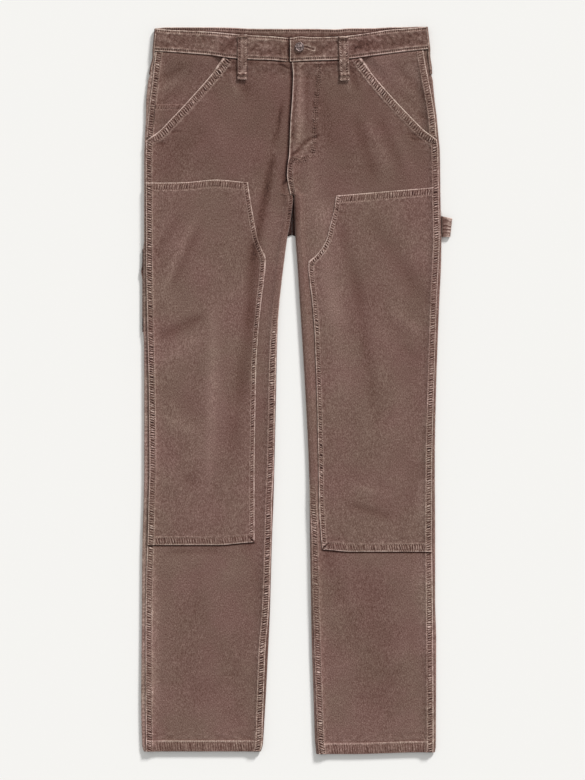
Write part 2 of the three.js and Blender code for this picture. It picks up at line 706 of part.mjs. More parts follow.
/** Front belt loop: lies on the band, then drops to the front panel below the waist seam. */
function frontLoop(leg, loop) {
  const topY = waist.top(leg.sign * loop.topU) - 0.5;
  const seamY = leg.seam(loop.topU);
  const tack = 9;
  const rows = [topY, topY - 5, topY - 7, lerp(topY, seamY, 0.55), seamY + 1, seamY - 6, seamY - 14,
    loop.bottomY + tack + 1.5, loop.bottomY + tack, loop.bottomY];
  const onBand = BAND_TOP + SEAM_GAP;
  return sheet(rows.length, 3, (r, c) => {
    const y = rows[r];
    const centre = lerp(loop.topU, loop.bottomU, ramp(y, topY, loop.bottomY));
    const u = centre + (c - 1) * (LOOP_WIDTH / 2);
    const drop = smooth(ramp(y, seamY + 1, loop.bottomY + tack));
    const base = lerp(onBand, frontTop(leg, u, y) + SEAM_GAP, drop);
    const folded = y >= topY - 5 || y <= loop.bottomY + tack;
    const wall = folded ? 1.8 * LOOP_WALL : LOOP_WALL;
    return [leg.point(u, y, base + wall), leg.point(u, y, base)];
  });
}

/** Side belt loop: bends round the side, from below the waist seam to the top of the band. */
function sideLoop(leg) {
  const topX = leg.isLeft ? SIDE_LOOP.leftTop : SIDE_LOOP.rightTop;
  const seamY = leg.seam(leg.side(WAIST_ROW));
  const rows = [SIDE_LOOP.bottom, SIDE_LOOP.bottom + 7, SIDE_LOOP.bottom + 9, 1030, WAIST_ROW, seamY - 1,
    seamY + 12, topX];
  const columns = 8;
  return sheet(rows.length, columns, (r, c) => {
    const y = rows[r];
    const onBand = ramp(y, SIDE_LOOP.bottom + 13, seamY - 1);
    const radius = lerp(FOLD_RADIUS, BAND_RADIUS, onBand);
    const onPanel = leg.side(y) - LOOP_ROOM - radius;
    const centre = { u: lerp(onPanel, bandTurn(leg.isLeft, ramp(y, seamY, topX)), onBand), z: radius };
    const top = lerp(SIDE_LOOP.panelAngle, SIDE_LOOP.bandAngle, onBand);
    const angle = lerp(SIDE_LOOP.lowAngle, top, c / (columns - 1));
    const wall = r < 2 ? SIDE_LOOP_WALL * 1.3 : SIDE_LOOP_WALL;
    return [radius + SEAM_GAP + wall, radius + SEAM_GAP].map((reach) => leg.point(
      centre.u + reach * Math.cos(angle),
      y,
      centre.z + reach * Math.sin(angle),
    ));
  });
}

/** Hammer loop: a strap that leaves the left side seam, folds back and returns underneath. */
function hammerLoop(leg) {
  const rows = [0, 0.35, 0.65, 1];
  const arc = [0, 1, 2, 3, 4].map((i) => (Math.PI * i) / 4);
  return sheet(rows.length, arc.length + 4, (r, c) => {
    const t = rows[r];
    const radius = lerp(HAMMER_LOOP.lowRadius, HAMMER_LOOP.highRadius, t);
    const reach = lerp(HAMMER_LOOP.lowReach, HAMMER_LOOP.highReach, t) - radius;
    const rootY = lerp(HAMMER_LOOP.bottom, HAMMER_LOOP.top, t);
    const root = leg.side(rootY) + SEAM_GAP;
    const profile = (size) => [
      [root, radius + size],
      [lerp(root, reach, 0.5), radius + size],
      ...arc.map((angle) => [reach + size * Math.sin(angle), radius + size * Math.cos(angle)]),
      [lerp(root, reach, 0.5), radius - size],
      [root, radius - size],
    ];
    return [radius, radius - CLOTH].map((size) => {
      const [u, z] = profile(size)[c];
      const y = rootY - HAMMER_LOOP.slope * t * (u - root);
      return leg.point(u, y, z);
    });
  });
}

/** Tool pocket: lies under the right back, and its edge comes up round the side. */
function toolPocket(leg) {
  const rows = [TOOL_POCKET.bottom, 640, 678, 718, 738, TOOL_POCKET.top];
  const arc = [0, 0.25, 0.5, 0.75, 1].map((t) => t * TOOL_POCKET.edgeAngle);
  return sheet(rows.length, arc.length + 2, (r, c) => {
    const roll = sideRoll(leg, rows[r]);
    const outer = roll.radius + TOOL_POCKET_LIFT;
    if (c < 2) {
      const u = lerp(TOOL_POCKET.inner, roll.u, c / 2);
      return [leg.point(u, rows[r], 0), leg.point(u, rows[r], CLOTH)];
    }
    const angle = arc[c - 2];
    return [outer, outer - CLOTH].map((radius) => leg.point(
      roll.u + radius * Math.sin(angle),
      rows[r],
      roll.z - radius * Math.cos(angle),
    ));
  });
}

/** Shank button: a dished metal head over the band, on a shank that stands in the buttonhole. */
function shankButton() {
  const under = BAND_TOP + SEAM_GAP;
  const foot = BAND_TOP - BAND_WALL;
  const rim = BUTTON.radius;
  const profile = [
    [0, foot],
    [BUTTON.shank, foot],
    [BUTTON.shank, under],
    [rim - 0.8, under],
    [rim, under + 0.6],
    [rim, under + 1.1],
    [rim - 0.7, under + 1.7],
    [rim - 1.7, under + 1.6],
    [rim - 2.2, under + 1.3],
    [0, under + 1.9],
  ].map(([radius, height]) => new THREE.Vector2(radius, height));
  const lathe = new THREE.LatheGeometry(profile, SEGMENTS);
  lathe.rotateX(Math.PI / 2);
  lathe.translate(BUTTON.x, BUTTON.y, 0);
  return lathe;
}

const wasm = await Module();
wasm.setup();

const CLOTH_COLOUR = 0x745b53;
const FACING_COLOUR = 0x6c554d;
const METAL_COLOUR = 0x5b5653;
const cloth = { color: CLOTH_COLOUR, roughness: 0.95, metalness: 0 };
const facing = { color: FACING_COLOUR, roughness: 0.95, metalness: 0 };
const metal = { color: METAL_COLOUR, roughness: 0.4, metalness: 1 };

const pieces = [
  ['right_back', backPanel(RIGHT), cloth],
  ['left_back', backPanel(LEFT), cloth],
  ['right_front', frontPanel(RIGHT), cloth],
  ['left_front', frontPanel(LEFT), cloth],
  ['right_pocket_facing', pocketFacing(RIGHT), facing],
  ['left_pocket_facing', pocketFacing(LEFT), facing],
  ['coin_pocket', coinPocket(RIGHT), facing],
  ['right_knee_panel', kneePanel(RIGHT, RIGHT_KNEE), cloth],
  ['left_knee_panel', kneePanel(LEFT, LEFT_KNEE), cloth],
  ['waistband', cutOut(waistband(), buttonhole()), cloth],
  ['right_belt_loop', frontLoop(RIGHT, RIGHT_LOOP), cloth],
  ['left_belt_loop', frontLoop(LEFT, LEFT_LOOP), cloth],
  ['right_side_loop', sideLoop(RIGHT), cloth],
  ['left_side_loop', sideLoop(LEFT), cloth],
  ['hammer_loop', hammerLoop(LEFT), cloth],
  ['tool_pocket', toolPocket(RIGHT), cloth],
  ['button', shankButton(), metal],
];

const group = new THREE.Group();
for (const [name, geometry, finish] of pieces) {
  const mesh = new THREE.Mesh(geometry, new THREE.MeshStandardMaterial(finish));
  mesh.name = name;
  group.add(mesh);
}

// The origin is the middle of the garment's outline, on the surface.
const box = new THREE.Box3().setFromObject(group);
const middle = box.getCenter(new THREE.Vector3());
group.position.set(-middle.x, -middle.y, -box.min.z);
group.updateMatrixWorld(true);

export default group;
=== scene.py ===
"""Carpenter pants laid flat, front side up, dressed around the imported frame.

Sizes are millimetres in the garment's own measure until a mesh is made: x runs to the wearer's
left from the centre line, y from the hems to the waist and z up from the surface. Each leg works
in u, the distance out from the centre line, so one class makes both legs.
"""
from __future__ import annotations

import logging
import math
from collections.abc import Callable
from dataclasses import dataclass, field
from enum import Enum
from functools import partial

import bpy
import numpy as np
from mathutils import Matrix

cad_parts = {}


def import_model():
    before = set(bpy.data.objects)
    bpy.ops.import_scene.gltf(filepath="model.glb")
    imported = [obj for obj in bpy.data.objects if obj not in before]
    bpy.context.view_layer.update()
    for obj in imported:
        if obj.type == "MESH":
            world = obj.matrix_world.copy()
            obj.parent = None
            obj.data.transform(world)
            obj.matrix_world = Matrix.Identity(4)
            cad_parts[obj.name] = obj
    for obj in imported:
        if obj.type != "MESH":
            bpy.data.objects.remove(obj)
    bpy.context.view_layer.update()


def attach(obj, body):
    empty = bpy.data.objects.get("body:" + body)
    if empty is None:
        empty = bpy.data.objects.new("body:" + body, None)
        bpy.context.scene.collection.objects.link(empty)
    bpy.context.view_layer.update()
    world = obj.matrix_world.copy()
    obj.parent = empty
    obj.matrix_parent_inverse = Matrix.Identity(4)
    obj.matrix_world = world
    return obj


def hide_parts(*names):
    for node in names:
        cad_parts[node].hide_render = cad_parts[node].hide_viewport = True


LOG = logging.getLogger("pants")
MM = 0.001
GARMENT_SHIFT = (-8.5, -542.31, 0.0)

# The makings of the cloth, as in the solids.
CLOTH = 1.2
SEAM_GAP = 0.3
FOLD_RADIUS = 2.4
FELL_WIDTH = 10.0
FELL_SLOPE = 3.0
FELL_FOOT = 9.0
HEM_DEPTH = 16.0
HEM_RAISE = 0.6
SLANT_RAISE = 0.5
FRONT_MID_TOP = 4.4
FLY_LEVEL = 0.85
UNDERLAP = 9.0
FACING_MID_TOP = 2.7
FACING_UNDERLAP = 12.0
BAND_WALL = 1.8
BAND_RADIUS = 3.4
LOOP_WALL = 1.5
LOOP_WIDTH = 15.0
SIDE_LOOP_WALL = 1.2
SEAT_SEAM_X = 1.5
CROTCH_BACK_Y = 774.0
CROTCH_FRONT_Y = 838.0
LAP_START_Y = 848.0
LAP_FULL_Y = 860.0
SLANT_END_Y = 917.0
STRIP_REACH = 7.2
WAIST_ROW = 1041.0
BACK_WAIST_ROW = 1050.0
WAIST_TUCK = 0.8
ROLL_TOP = 2 * FOLD_RADIUS
FELL_TOP = ROLL_TOP + SEAM_GAP + CLOTH
LAP_RADIUS = FOLD_RADIUS + SEAM_GAP + CLOTH
LAP_MID_RADIUS = LAP_RADIUS - CLOTH / 2
BAND_TOP = 2 * BAND_RADIUS
LOOP_ROOM = SIDE_LOOP_WALL + SEAM_GAP

# Sizes of the shells only: their wall, how they meet the waist, and the spacing of their rows.
SHELL = 0.9
WAIST_HIDDEN = 3.2
TUCKED_TOP = 4.1
WAIST_RISE = 5.7
BACK_RISE = 1.8
TOP_START = 1020.0
BACK_TOP_START = 1030.0
ROW_STEP = 1.6
BACK_ROW_STEP = 2.6
ROW_SPACING = 4.0

Array = np.ndarray


def ramp(value: Array, start: float, end: float) -> Array:
    """Share of the way from start to end, held between 0 and 1."""
    return np.clip((np.asarray(value, float) - start) / (end - start), 0.0, 1.0)


def smooth(share: Array) -> Array:
    """The same share with a soft start and end."""
    return share * share * (3 - 2 * share)


def ease(value: Array, start: float, end: float) -> Array:
    """Share of the way from start to end, with a soft start and end."""
    return smooth(ramp(value, start, end))


def mix(low: Array, high: Array, share: Array) -> Array:
    """Value at a share of the way between two others."""
    return low + (high - low) * share


def wander(x: Array, y: Array, size: float, seed: int) -> Array:
    """Smooth value from -1 to 1 that changes over a given size.

    Args:
        x: Places across, in millimetres.
        y: Places along.
        size: How far one swell reaches.
        seed: Picks another pattern.

    Returns:
        One value for each place.
    """
    across, along = np.broadcast_arrays(np.asarray(x, float) / size, np.asarray(y, float) / size)
    cell_x, cell_y = np.floor(across), np.floor(along)
    part_x, part_y = smooth(across - cell_x), smooth(along - cell_y)

    def corner(step_x: int, step_y: int) -> Array:
        """Fixed value of one lattice corner."""
        key = (cell_x + step_x).astype(np.int64) * 73856093 ^ (cell_y + step_y).astype(np.int64) * 19349663
        key = (key ^ (seed * 83492791)) & 0xFFFFFFFF
        key = ((key ^ (key >> 13)) * 1274126177) & 0xFFFFFFFF
        key = ((key ^ (key >> 16)) * 69069) & 0xFFFFFFFF
        return key / 0x7FFFFFFF - 1.0

    low = mix(corner(0, 0), corner(1, 0), part_x)
    high = mix(corner(0, 1), corner(1, 1), part_x)
    return mix(low, high, part_y)


class Curve:
    """Smooth curve through the points of a table, without overshoot between them."""

    def __init__(self, rows: list[tuple[float, float]]) -> None:
        """Keep the table and the slope at each of its points.

        Args:
            rows: Rising places, each with its value.
        """
        self.x, self.y = np.array(rows, float).T
        slope = np.diff(self.y) / np.diff(self.x)
        before, after = slope[:-1], slope[1:]
        total = np.where(before * after > 0, before + after, 1.0)
        middle = np.where(before * after > 0, 2 * before * after / total, 0.0)
        self.tangent = np.concatenate([slope[:1], middle, slope[-1:]])

    def __call__(self, value: Array) -> Array:
        """Value of the curve at each place, held at its two ends.

        Args:
            value: The places.

        Returns:
            The curve's values.
        """
        at = np.clip(np.asarray(value, float), self.x[0], self.x[-1])
        i = np.clip(np.searchsorted(self.x, at, side="right") - 1, 0, len(self.x) - 2)
        span = self.x[i + 1] - self.x[i]
        t = (at - self.x[i]) / span
        rise = self.y[i + 1] - self.y[i]
        first, second = self.tangent[i], self.tangent[i + 1]
        square = 3 * rise - (2 * first + second) * span
        cubic = (first + second) * span - 2 * rise
        return self.y[i] + t * (first * span + t * (square + t * cubic))


class Path:
    """A line of straight pieces, such as an edge or a row of stitches."""

    def __init__(self, points: Array | list[tuple[float, float]]) -> None:
        """Keep the corners and the length up to each of them.

        Args:
            points: Corners of the line.
        """
        self.points = np.array(points, float)
        self.steps = np.diff(self.points, axis=0)
        self.lengths = np.hypot(*self.steps.T)
        self.starts = np.concatenate([[0.0], np.cumsum(self.lengths)])

    def measure(self, x: Array, y: Array) -> tuple[Array, Array]:
        """How far along the line each place lies, and how far it is from it.

        Args:
            x: Places across.
            y: Places along.

        Returns:
            Distances along it and from it.
        """
        best = np.full(np.shape(x), np.inf)
        along = np.zeros(np.shape(x))
        for corner, step, length, start in zip(self.points, self.steps, self.lengths, self.starts):
            t = np.clip(((x - corner[0]) * step[0] + (y - corner[1]) * step[1]) / length**2, 0, 1)
            away = np.hypot(x - corner[0] - t * step[0], y - corner[1] - t * step[1])
            nearer = away < best
            best = np.where(nearer, away, best)
            along = np.where(nearer, start + t * length, along)
        return along, best

    def at(self, distance: Array) -> Array:
        """Places at given distances along the line."""
        return np.stack([np.interp(distance, self.starts, self.points[:, i]) for i in (0, 1)], axis=-1)

    def beside(self, offset: float) -> Path:
        """The same line moved sideways, to its left as it runs.

        Args:
            offset: Distance to the left.

        Returns:
            The moved line.
        """
        turned = self.steps[:, ::-1] * (-1, 1) / self.lengths[:, None]
        normals = np.vstack([turned[:1], (turned[:-1] + turned[1:]) / 2, turned[-1:]])
        scale = 1 / np.maximum(np.hypot(*normals.T), 0.5) ** 2
        return Path(self.points + offset * normals * scale[:, None])


@dataclass(frozen=True)
class Crease:
    """A soft trough or ridge in the cloth; troughs have a height below zero."""

    from_x: float
    from_y: float
    to_x: float
    to_y: float
    width: float
    height: float

    def at(self, x: Array, y: Array, taper: float = 0.25) -> Array:
        """Height that the crease adds at each place.

        Args:
            x: Places across.
            y: Places along.
            taper: Share of its length over which it fades past its ends.

        Returns:
            Heights.
        """
        run, rise = self.to_x - self.from_x, self.to_y - self.from_y
        length = math.hypot(run, rise)
        t = ((x - self.from_x) * run + (y - self.from_y) * rise) / length**2
        across = ((x - self.from_x) * rise - (y - self.from_y) * run) / length
        ends = ease(t, -taper, 0.2) * ease(t, 1 + taper, 0.8)
        return self.height * ends * np.exp(-((across / self.width) ** 2))


def creases(rows: list[tuple[float, float, float, float, float, float]]) -> tuple[Crease, ...]:
    """Creases from the rows of a table."""
    return tuple(Crease(*row) for row in rows)


@dataclass(frozen=True)
class Rows:
    """One or two rows of topstitching beside an edge, by their distances from it."""

    first: float
    second: float | None = None
    depth: float = 0.2
    pitch: float = 5.0
    strength: float = 1.0


class Relief:
    """What gathers on one sheet: height, fading with painted light and shade, rumples and the run of its sewn
    bands.
    """

    def __init__(self, x: Array, y: Array, rumple: float = 0.09) -> None:
        """Start from plain cloth.

        Args:
            x: Places across.
            y: Places along.
            rumple: How rumpled plain cloth is.
        """
        self.x, self.y = np.broadcast_arrays(np.asarray(x, float), np.asarray(y, float))
        self.height = np.zeros(self.x.shape)
        self.wear_and_shading = np.zeros(self.x.shape)
        self.rumple = np.full(self.x.shape, rumple)
        self.seam = np.zeros((*self.x.shape, 3))

    def swell(self, seed: int, mask: Array = 1.0, amount: float = 1.0) -> None:
        """Slow rise and fall of cloth that lies by its own weight, with fine rumples in it.

        Args:
            seed: Picks the pattern.
            mask: Where it acts, 0 to 1.
            amount: Factor on its height.
        """
        broad = wander(self.x, self.y / 1.6, 62, seed)
        middle = wander(self.x, self.y / 1.3, 23, seed + 1)
        fine = wander(self.x, self.y, 8, seed + 2)
        self.height += amount * mask * (0.3 * broad + 0.1 * middle + 0.03 * fine)
        # The rises are painted a little paler and the hollows a little darker, as light and shade.
        self.wear_and_shading += amount * (0.02 * broad + 0.02 * middle)

    def crumple(self, size: float, amount: float, mask: Array, seed: int, lean: float = 0.0) -> None:
        """Small sharp wrinkles, long across the lean, pale on top with fading and painted light, and painted
        dark in the folds as shade.

        Args:
            size: Distance from wrinkle to wrinkle.
            amount: Height of the wrinkles.
            mask: Where it acts, 0 to 1.
            seed: Picks the pattern.
            lean: Slope of the wrinkles.
        """
        x, y = self.x + lean * self.y, self.y / 0.6
        bend = wander(x, y, 2.2 * size, seed + 3)
        ridged = 1 - 2.6 * np.abs(wander(x + 3 * bend, y, size, seed))
        ridged = ridged + 0.35 * wander(x, y, size / 2.3, seed + 1)
        strength = amount * mask * (0.6 + 0.5 * bend)
        self.height += strength * ridged
        self.wear_and_shading += 0.45 * strength * ridged

    def crease(self, rows: tuple[Crease, ...], tint: float = 0.36) -> None:
        """Creases, with painted shade in their troughs and painted light on their ridges.

        Args:
            rows: The creases.
            tint: Painted light for each unit of height, painted shade where the height is below zero.
        """
        for row in rows:
            height = row.at(self.x, self.y)
            self.height += height
            self.wear_and_shading += tint * height / max(1.0, row.width / 6)

    def edge(self, across: Array, mask: Array = 1.0, bright: float = 0.5, radius: float = 0.8) -> None:
        """Rounded fold at a free edge, paler with fading; across is the distance in from it.

        Args:
            across: Distance in from the edge.
            mask: Where it acts, 0 to 1.
            bright: Fading of the fold.
            radius: Radius of the fold.
        """
        share = np.clip(1 - across / radius, 0, 1)
        self.height -= mask * radius * (1 - np.sqrt(1 - 0.9 * share * share))
        uneven = 1.0 + 0.5 * wander(self.x, self.y, 6, 41)
        self.wear_and_shading += mask * bright * uneven * np.exp(-(((across - 0.6) / 0.75) ** 2))

    def line(self, across: Array, width: float, height: float, wear_and_shading: float, mask: Array = 1.0) -> None:
        """Narrow ridge or valley along a line.

        Args:
            across: Distance from the line.
            width: Half its width.
            height: Its height, below zero for a valley.
            wear_and_shading: Paler above zero, from fading and painted light; darker below zero, from stitch
                rows and painted shade.
            mask: Where it acts, 0 to 1.
        """
        shape = mask * np.exp(-((across / width) ** 2))
        self.height += height * shape
        self.wear_and_shading += wear_and_shading * shape

    def lines(self, across: Array, table: tuple[tuple[float, ...], ...], mask: Array = 1.0) -> None:
        """Ridges and valleys beside an edge, from rows of distance in, width, height and colour change, which
        is fading and painted light and shade.
        """
        for place, width, height, wear_and_shading in table:
            self.line(across - place, width, height, wear_and_shading, mask)

    def rows(self, along: Array, across: Array, band: Rows, seed: int, mask: Array = 1.0) -> None:
        """Sink the rows, draw up the cloth between them and note where they run.

        Args:
            along: Distance along the edge.
            across: Distance in from the edge.
            band: The rows.
            seed: Picks the unevenness.
            mask: Where the rows are, 0 to 1.
        """
        along, across, mask = np.broadcast_arrays(along, across, mask, self.x)[:3]
        strength = band.strength * mask * np.clip(0.95 + 0.4 * wander(along, 7, 38, seed + 1), 0.6, 1.3)
        if band.second is None:
            share = 1.0 + np.abs(across - band.first) / 11
        else:
            share = (across - band.first) / (band.second - band.first)
            inside = ease(share, -0.1, 0.2) * ease(share, 1.1, 0.8)
            turn = 2 * math.pi * along / band.pitch + 2.2 * wander(along, 0, 21, seed)
            self.height += band.depth * strength * inside * (np.sin(turn) - 0.3)
        for place in (0.0, 1.0) if band.second else (1.0,):
            self.height -= 0.18 * mask * np.exp(-(((share - place) / 0.14) ** 2))
        strength = strength * ramp(share, -0.7, -0.4) * ramp(share, 1.75, 1.4)
        near = (np.abs(share - 0.5) < 4.5) & (strength >= self.seam[..., 2]) & (mask > 0.01)
        self.seam[near] = np.stack([along + 17.0 * seed, share, strength], axis=-1)[near]
        self.rumple += 0.35 * mask * np.exp(-np.maximum(np.abs(share - 0.5) - 1, 0) ** 2)


FELLED = Rows(2.1, 8.4, depth=0.24, pitch=4.9)
SLANTED = Rows(2.6, 10.6, depth=0.22, pitch=5.2)
KNEE_SIDE = Rows(1.9, 6.4, depth=0.14)
KNEE_ENDS = Rows(2.0, 10.4, depth=0.0, strength=0.68)
HEM_ROWS = Rows(1.5, 13.6, depth=0.0, strength=0.5)
CENTRE_ROWS = Rows(2.2, 7.6, depth=0.18)
STRIP_ROWS = Rows(1.4, 5.4, depth=0.1, pitch=4.0)


@dataclass(frozen=True)
class Leg:
    """Outline and lie of one leg, as functions of the height along the garment."""

    name: str
    sign: int
    side: Curve
    ridge: Curve
    inner: Curve
    inseam_wrap: Curve
    pocket: Curve
    folds: tuple[Crease, ...]

    @property
    def is_left(self) -> bool:
        """Whether this is the wearer's left leg."""
        return self.sign > 0

    def points(self, u: Array, y: Array, z: Array) -> Array:
        """Points of the garment from places on this leg."""
        return np.stack([self.sign * u, y, z], axis=-1)

    def hem(self, u: Array) -> Array:
        """Height of the hem's edge.

        Args:
            u: Places out from the centre line.

        Returns:
            Height at each place.
        """
        if self.is_left:
            return -3.3 + 2.7 * ease(u, 90, 200)
        return np.full(np.shape(u), 0.6)

    def below_fork(self, y: Array) -> Array:
        """Whether a height lies below the crotch in front."""
        return np.asarray(y) < CROTCH_FRONT_Y - 2

    def wrap(self, y: Array) -> Array:
        """How far the front's inner edge has rolled over the inseam."""
        return np.where(self.below_fork(y), self.inseam_wrap(y), 0.0)

    def fold_at(self, y: Array) -> Array:
        """Where the inseam turns over, or the front's centre edge above the crotch.

        Args:
            y: Heights along the garment.

        Returns:
            Distance out from the centre line.
        """
        angle = np.maximum(0, self.inseam_wrap(y)) / LAP_MID_RADIUS
        drawn = 0.0 if self.is_left else 4.0 * ease(y, 780, 832)
        turned = self.inner(y) - drawn + np.maximum(FOLD_RADIUS, LAP_RADIUS * np.sin(angle))
        lap = (UNDERLAP + SEAM_GAP) * ramp(y, LAP_START_Y, LAP_FULL_Y) - SEAM_GAP
        centre = CENTRE_FRONT(y) if self.is_left else -CENTRE_FRONT(y) - lap
        return np.where(self.below_fork(y), turned, centre)

    def slant(self, y: Array) -> Array:
        """Pocket edge; far out where there is none."""
        return np.where(np.asarray(y) > SLANT_END_Y, self.pocket(y), 1e6)

    def lean(self, y: Array) -> Array:
        """Factor from a width square to the pocket edge to that width along a row."""
        return np.hypot(1, (self.pocket(y + 1) - self.pocket(y - 1)) / 2)

    def seam(self, u: Array) -> Array:
        """Height of the waist seam in front."""
        return WAIST_SEAM(self.sign * np.asarray(u))

    def fit_rows(self, u: Array, y: Array, seam: Array, start: float, last: float) -> Array:
        """Rows that follow the hem at the bottom and the waist seam at the top.

        Args:
            u: Places out from the centre line.
            y: Heights of the even rows.
            seam: Height at which the last row ends.
            start: Height from which the rows bend towards it.
            last: Height of the last even row.

        Returns:
            Heights of the fitted rows.
        """
        low = HEM_DEPTH - (HEM_DEPTH - y) / HEM_DEPTH * (HEM_DEPTH - self.hem(u))
        high = start + (y - start) / (last - start) * (seam - start)
        return np.where(y < HEM_DEPTH, low, np.where(y > start, high, y))

    def front_top(self, u: Array, y: Array) -> Array:
        """Top of the plain cloth of the front, soft folds included.

        Args:
            u: Places out from the centre line.
            y: Heights along the garment.

        Returns:
            Height above the surface.
        """
        level = mix(FLY_LEVEL if self.is_left else 0.0, 1.0, ease(y, 846, 826))
        outer = felled_rise(self.ridge(y) - u)
        inner = felled_rise(u - self.fold_at(y) + self.wrap(y)) * level
        inside = ramp(self.ridge(y) - u, 20, 45) * ramp(u - self.inner(y), 20, 34)
        soft = sum(fold.at(u, y) for fold in self.folds)
        return FRONT_MID_TOP + (FELL_TOP - FRONT_MID_TOP) * np.maximum(outer, inner) + soft * inside

    def facing_top(self, u: Array, y: Array) -> Array:
        """Top of the pocket facing."""
        return mix(FACING_MID_TOP, FELL_TOP, felled_rise(self.ridge(y) - u))

    def drawn_up(self, u: Array, y: Array, top: Array, reach: float, share: Array = 1.0) -> Array:
        """Cloth that rises to the band that it is sewn into, and dips under its edge.

        Args:
            u: Places out from the centre line.
            y: Heights along the garment.
            top: Height of the cloth before.
            reach: How far below the seam it rises.
            share: How much it rises, 0 to 1.

        Returns:
            Height of the cloth.
        """
        away = self.seam(u) - y
        lifted = np.maximum(top, mix(top, WAIST_RISE, share * ease(away, reach, 3)))
        return mix(lifted, np.minimum(lifted, TUCKED_TOP), ease(away, 2.2, -0.3))

    def pocket_line(self) -> Path:
        """The slanted pocket's edge as a line in u and y."""
        rows = np.linspace(SLANT_END_Y, 1046, 40)
        return Path([(float(self.pocket(y)), float(y)) for y in rows])


def felled_rise(distance: Array) -> Array:
    """Share of the felled height at a distance in from the ridge: flat, then a soft foot.

    Args:
        distance: Distance in from the ridge.

    Returns:
        Share of the felled height.
    """
    step = 0.55
    top = 1 - step * ramp(distance, FELL_WIDTH, FELL_WIDTH + FELL_SLOPE)
    foot = (1 - step) * (1 - ramp(distance, FELL_WIDTH + FELL_SLOPE, FELL_WIDTH + FELL_FOOT))
    return np.where(np.asarray(distance) <= FELL_WIDTH + FELL_SLOPE, top, foot)


# The fronts are darker towards the waist.
TONE = Curve([(0, 0), (290, -0.01), (450, -0.015), (780, -0.015), (835, -0.045), (900, -0.07), (1040, -0.09)])
CENTRE_FRONT = Curve([
    (838, -1.5), (848, -3.5), (865, -6), (880, -5.2), (895, -3), (948, -0.7), (978, 1.5), (993, 2.3),
    (1015, 3), (1036, 1.5),
])
# Rows of x, waist seam, top edge, back seam and back top edge.
WAIST = [
    (-210, 1051.5, 1085.5, 1051.5, 1085.5), (-182, 1050, 1083, 1050, 1086),
    (-152, 1047.8, 1081.5, 1049, 1086), (-121, 1045.3, 1080, 1048.5, 1086),
    (-91, 1041, 1077.3, 1048.5, 1085.5), (-61, 1038.8, 1074.8, 1048.5, 1084),
    (-30, 1037.8, 1073.2, 1048.5, 1083.7), (0, 1035.5, 1071, 1048.5, 1083.7),
    (14, 1036.3, 1073, 1048.5, 1083.7), (30, 1037, 1071.8, 1048.5, 1083.7),
    (66, 1038, 1072.5, 1048.5, 1083), (88, 1040, 1074.3, 1048.5, 1084.5),
    (118, 1044, 1078.5, 1048.5, 1084.5), (148, 1047.8, 1083, 1050, 1086),
    (178, 1051.5, 1085.3, 1052, 1086.5), (210, 1054.7, 1088.3, 1054.7, 1088.3),
]
WAIST_SEAM, WAIST_TOP, BACK_SEAM, BACK_TOP = (
    Curve([(row[0], row[i]) for row in WAIST]) for i in range(1, len(WAIST[0]))
)

RIGHT = Leg(
    name="right",
    sign=-1,
    side=Curve([
        (0, 221), (10, 223.5), (78, 225), (198, 224), (288, 223.5), (318, 223), (378, 221.2), (423, 220.5),
        (528, 220.5), (618, 220.8), (628, 221.6), (756, 221.6), (766, 220.6), (888, 220.5), (921, 219.5),
        (948, 218), (978, 217.5), (1000, 215.3), (1020, 213), (1033, 210.7), (1047, 208.2), (1054, 208),
    ]),
    ridge=Curve([
        (0, 217.5), (10, 217.5), (78, 218.2), (198, 218.2), (288, 216.5), (318, 215.2), (378, 213.8),
        (423, 212.5), (528, 213.3), (618, 215.2), (628, 215.5), (756, 217.5), (766, 217.5), (888, 218),
        (921, 216.8), (948, 214.5), (978, 211.5), (1000, 208.5), (1020, 206.5), (1033, 205),
        (1047, 203.2), (1054, 202.5),
    ]),
    inner=Curve([
        (0, 45.2), (10, 42.3), (48, 39.8), (78, 38), (153, 34.2), (198, 32), (228, 31), (318, 28.5),
        (378, 26.2), (423, 25), (528, 22.5), (603, 21), (640, 19.5), (678, 16.5), (708, 13.5), (738, 9.8),
        (772, 5.3), (790, 2.3), (828, 0.8),
    ]),
    inseam_wrap=Curve([
        (0, 0.5), (10, 0.9), (48, 0), (78, -0.8), (153, -1.8), (198, 0), (228, 0.8), (318, 1.2), (378, 0.2),
        (423, 1.2), (528, 1), (603, 1.5), (640, 2.4), (678, 4), (708, 5), (738, 5), (772, 5), (790, 5),
        (828, 5),
    ]),
    pocket=Curve([
        (917, 217.3), (921, 211.5), (932, 197), (948, 181.5), (980, 151.5), (1014, 121.5), (1042, 99),
    ]),
    folds=creases([
        (16, 960, 42, 790, 14, -0.7), (40, 955, 66, 800, 18, 0.5), (150, 900, 120, 780, 30, -0.4),
        (100, 640, 108, 420, 30, 0.5), (165, 700, 160, 500, 30, -0.4), (120, 250, 130, 60, 32, 0.4),
    ]),
)
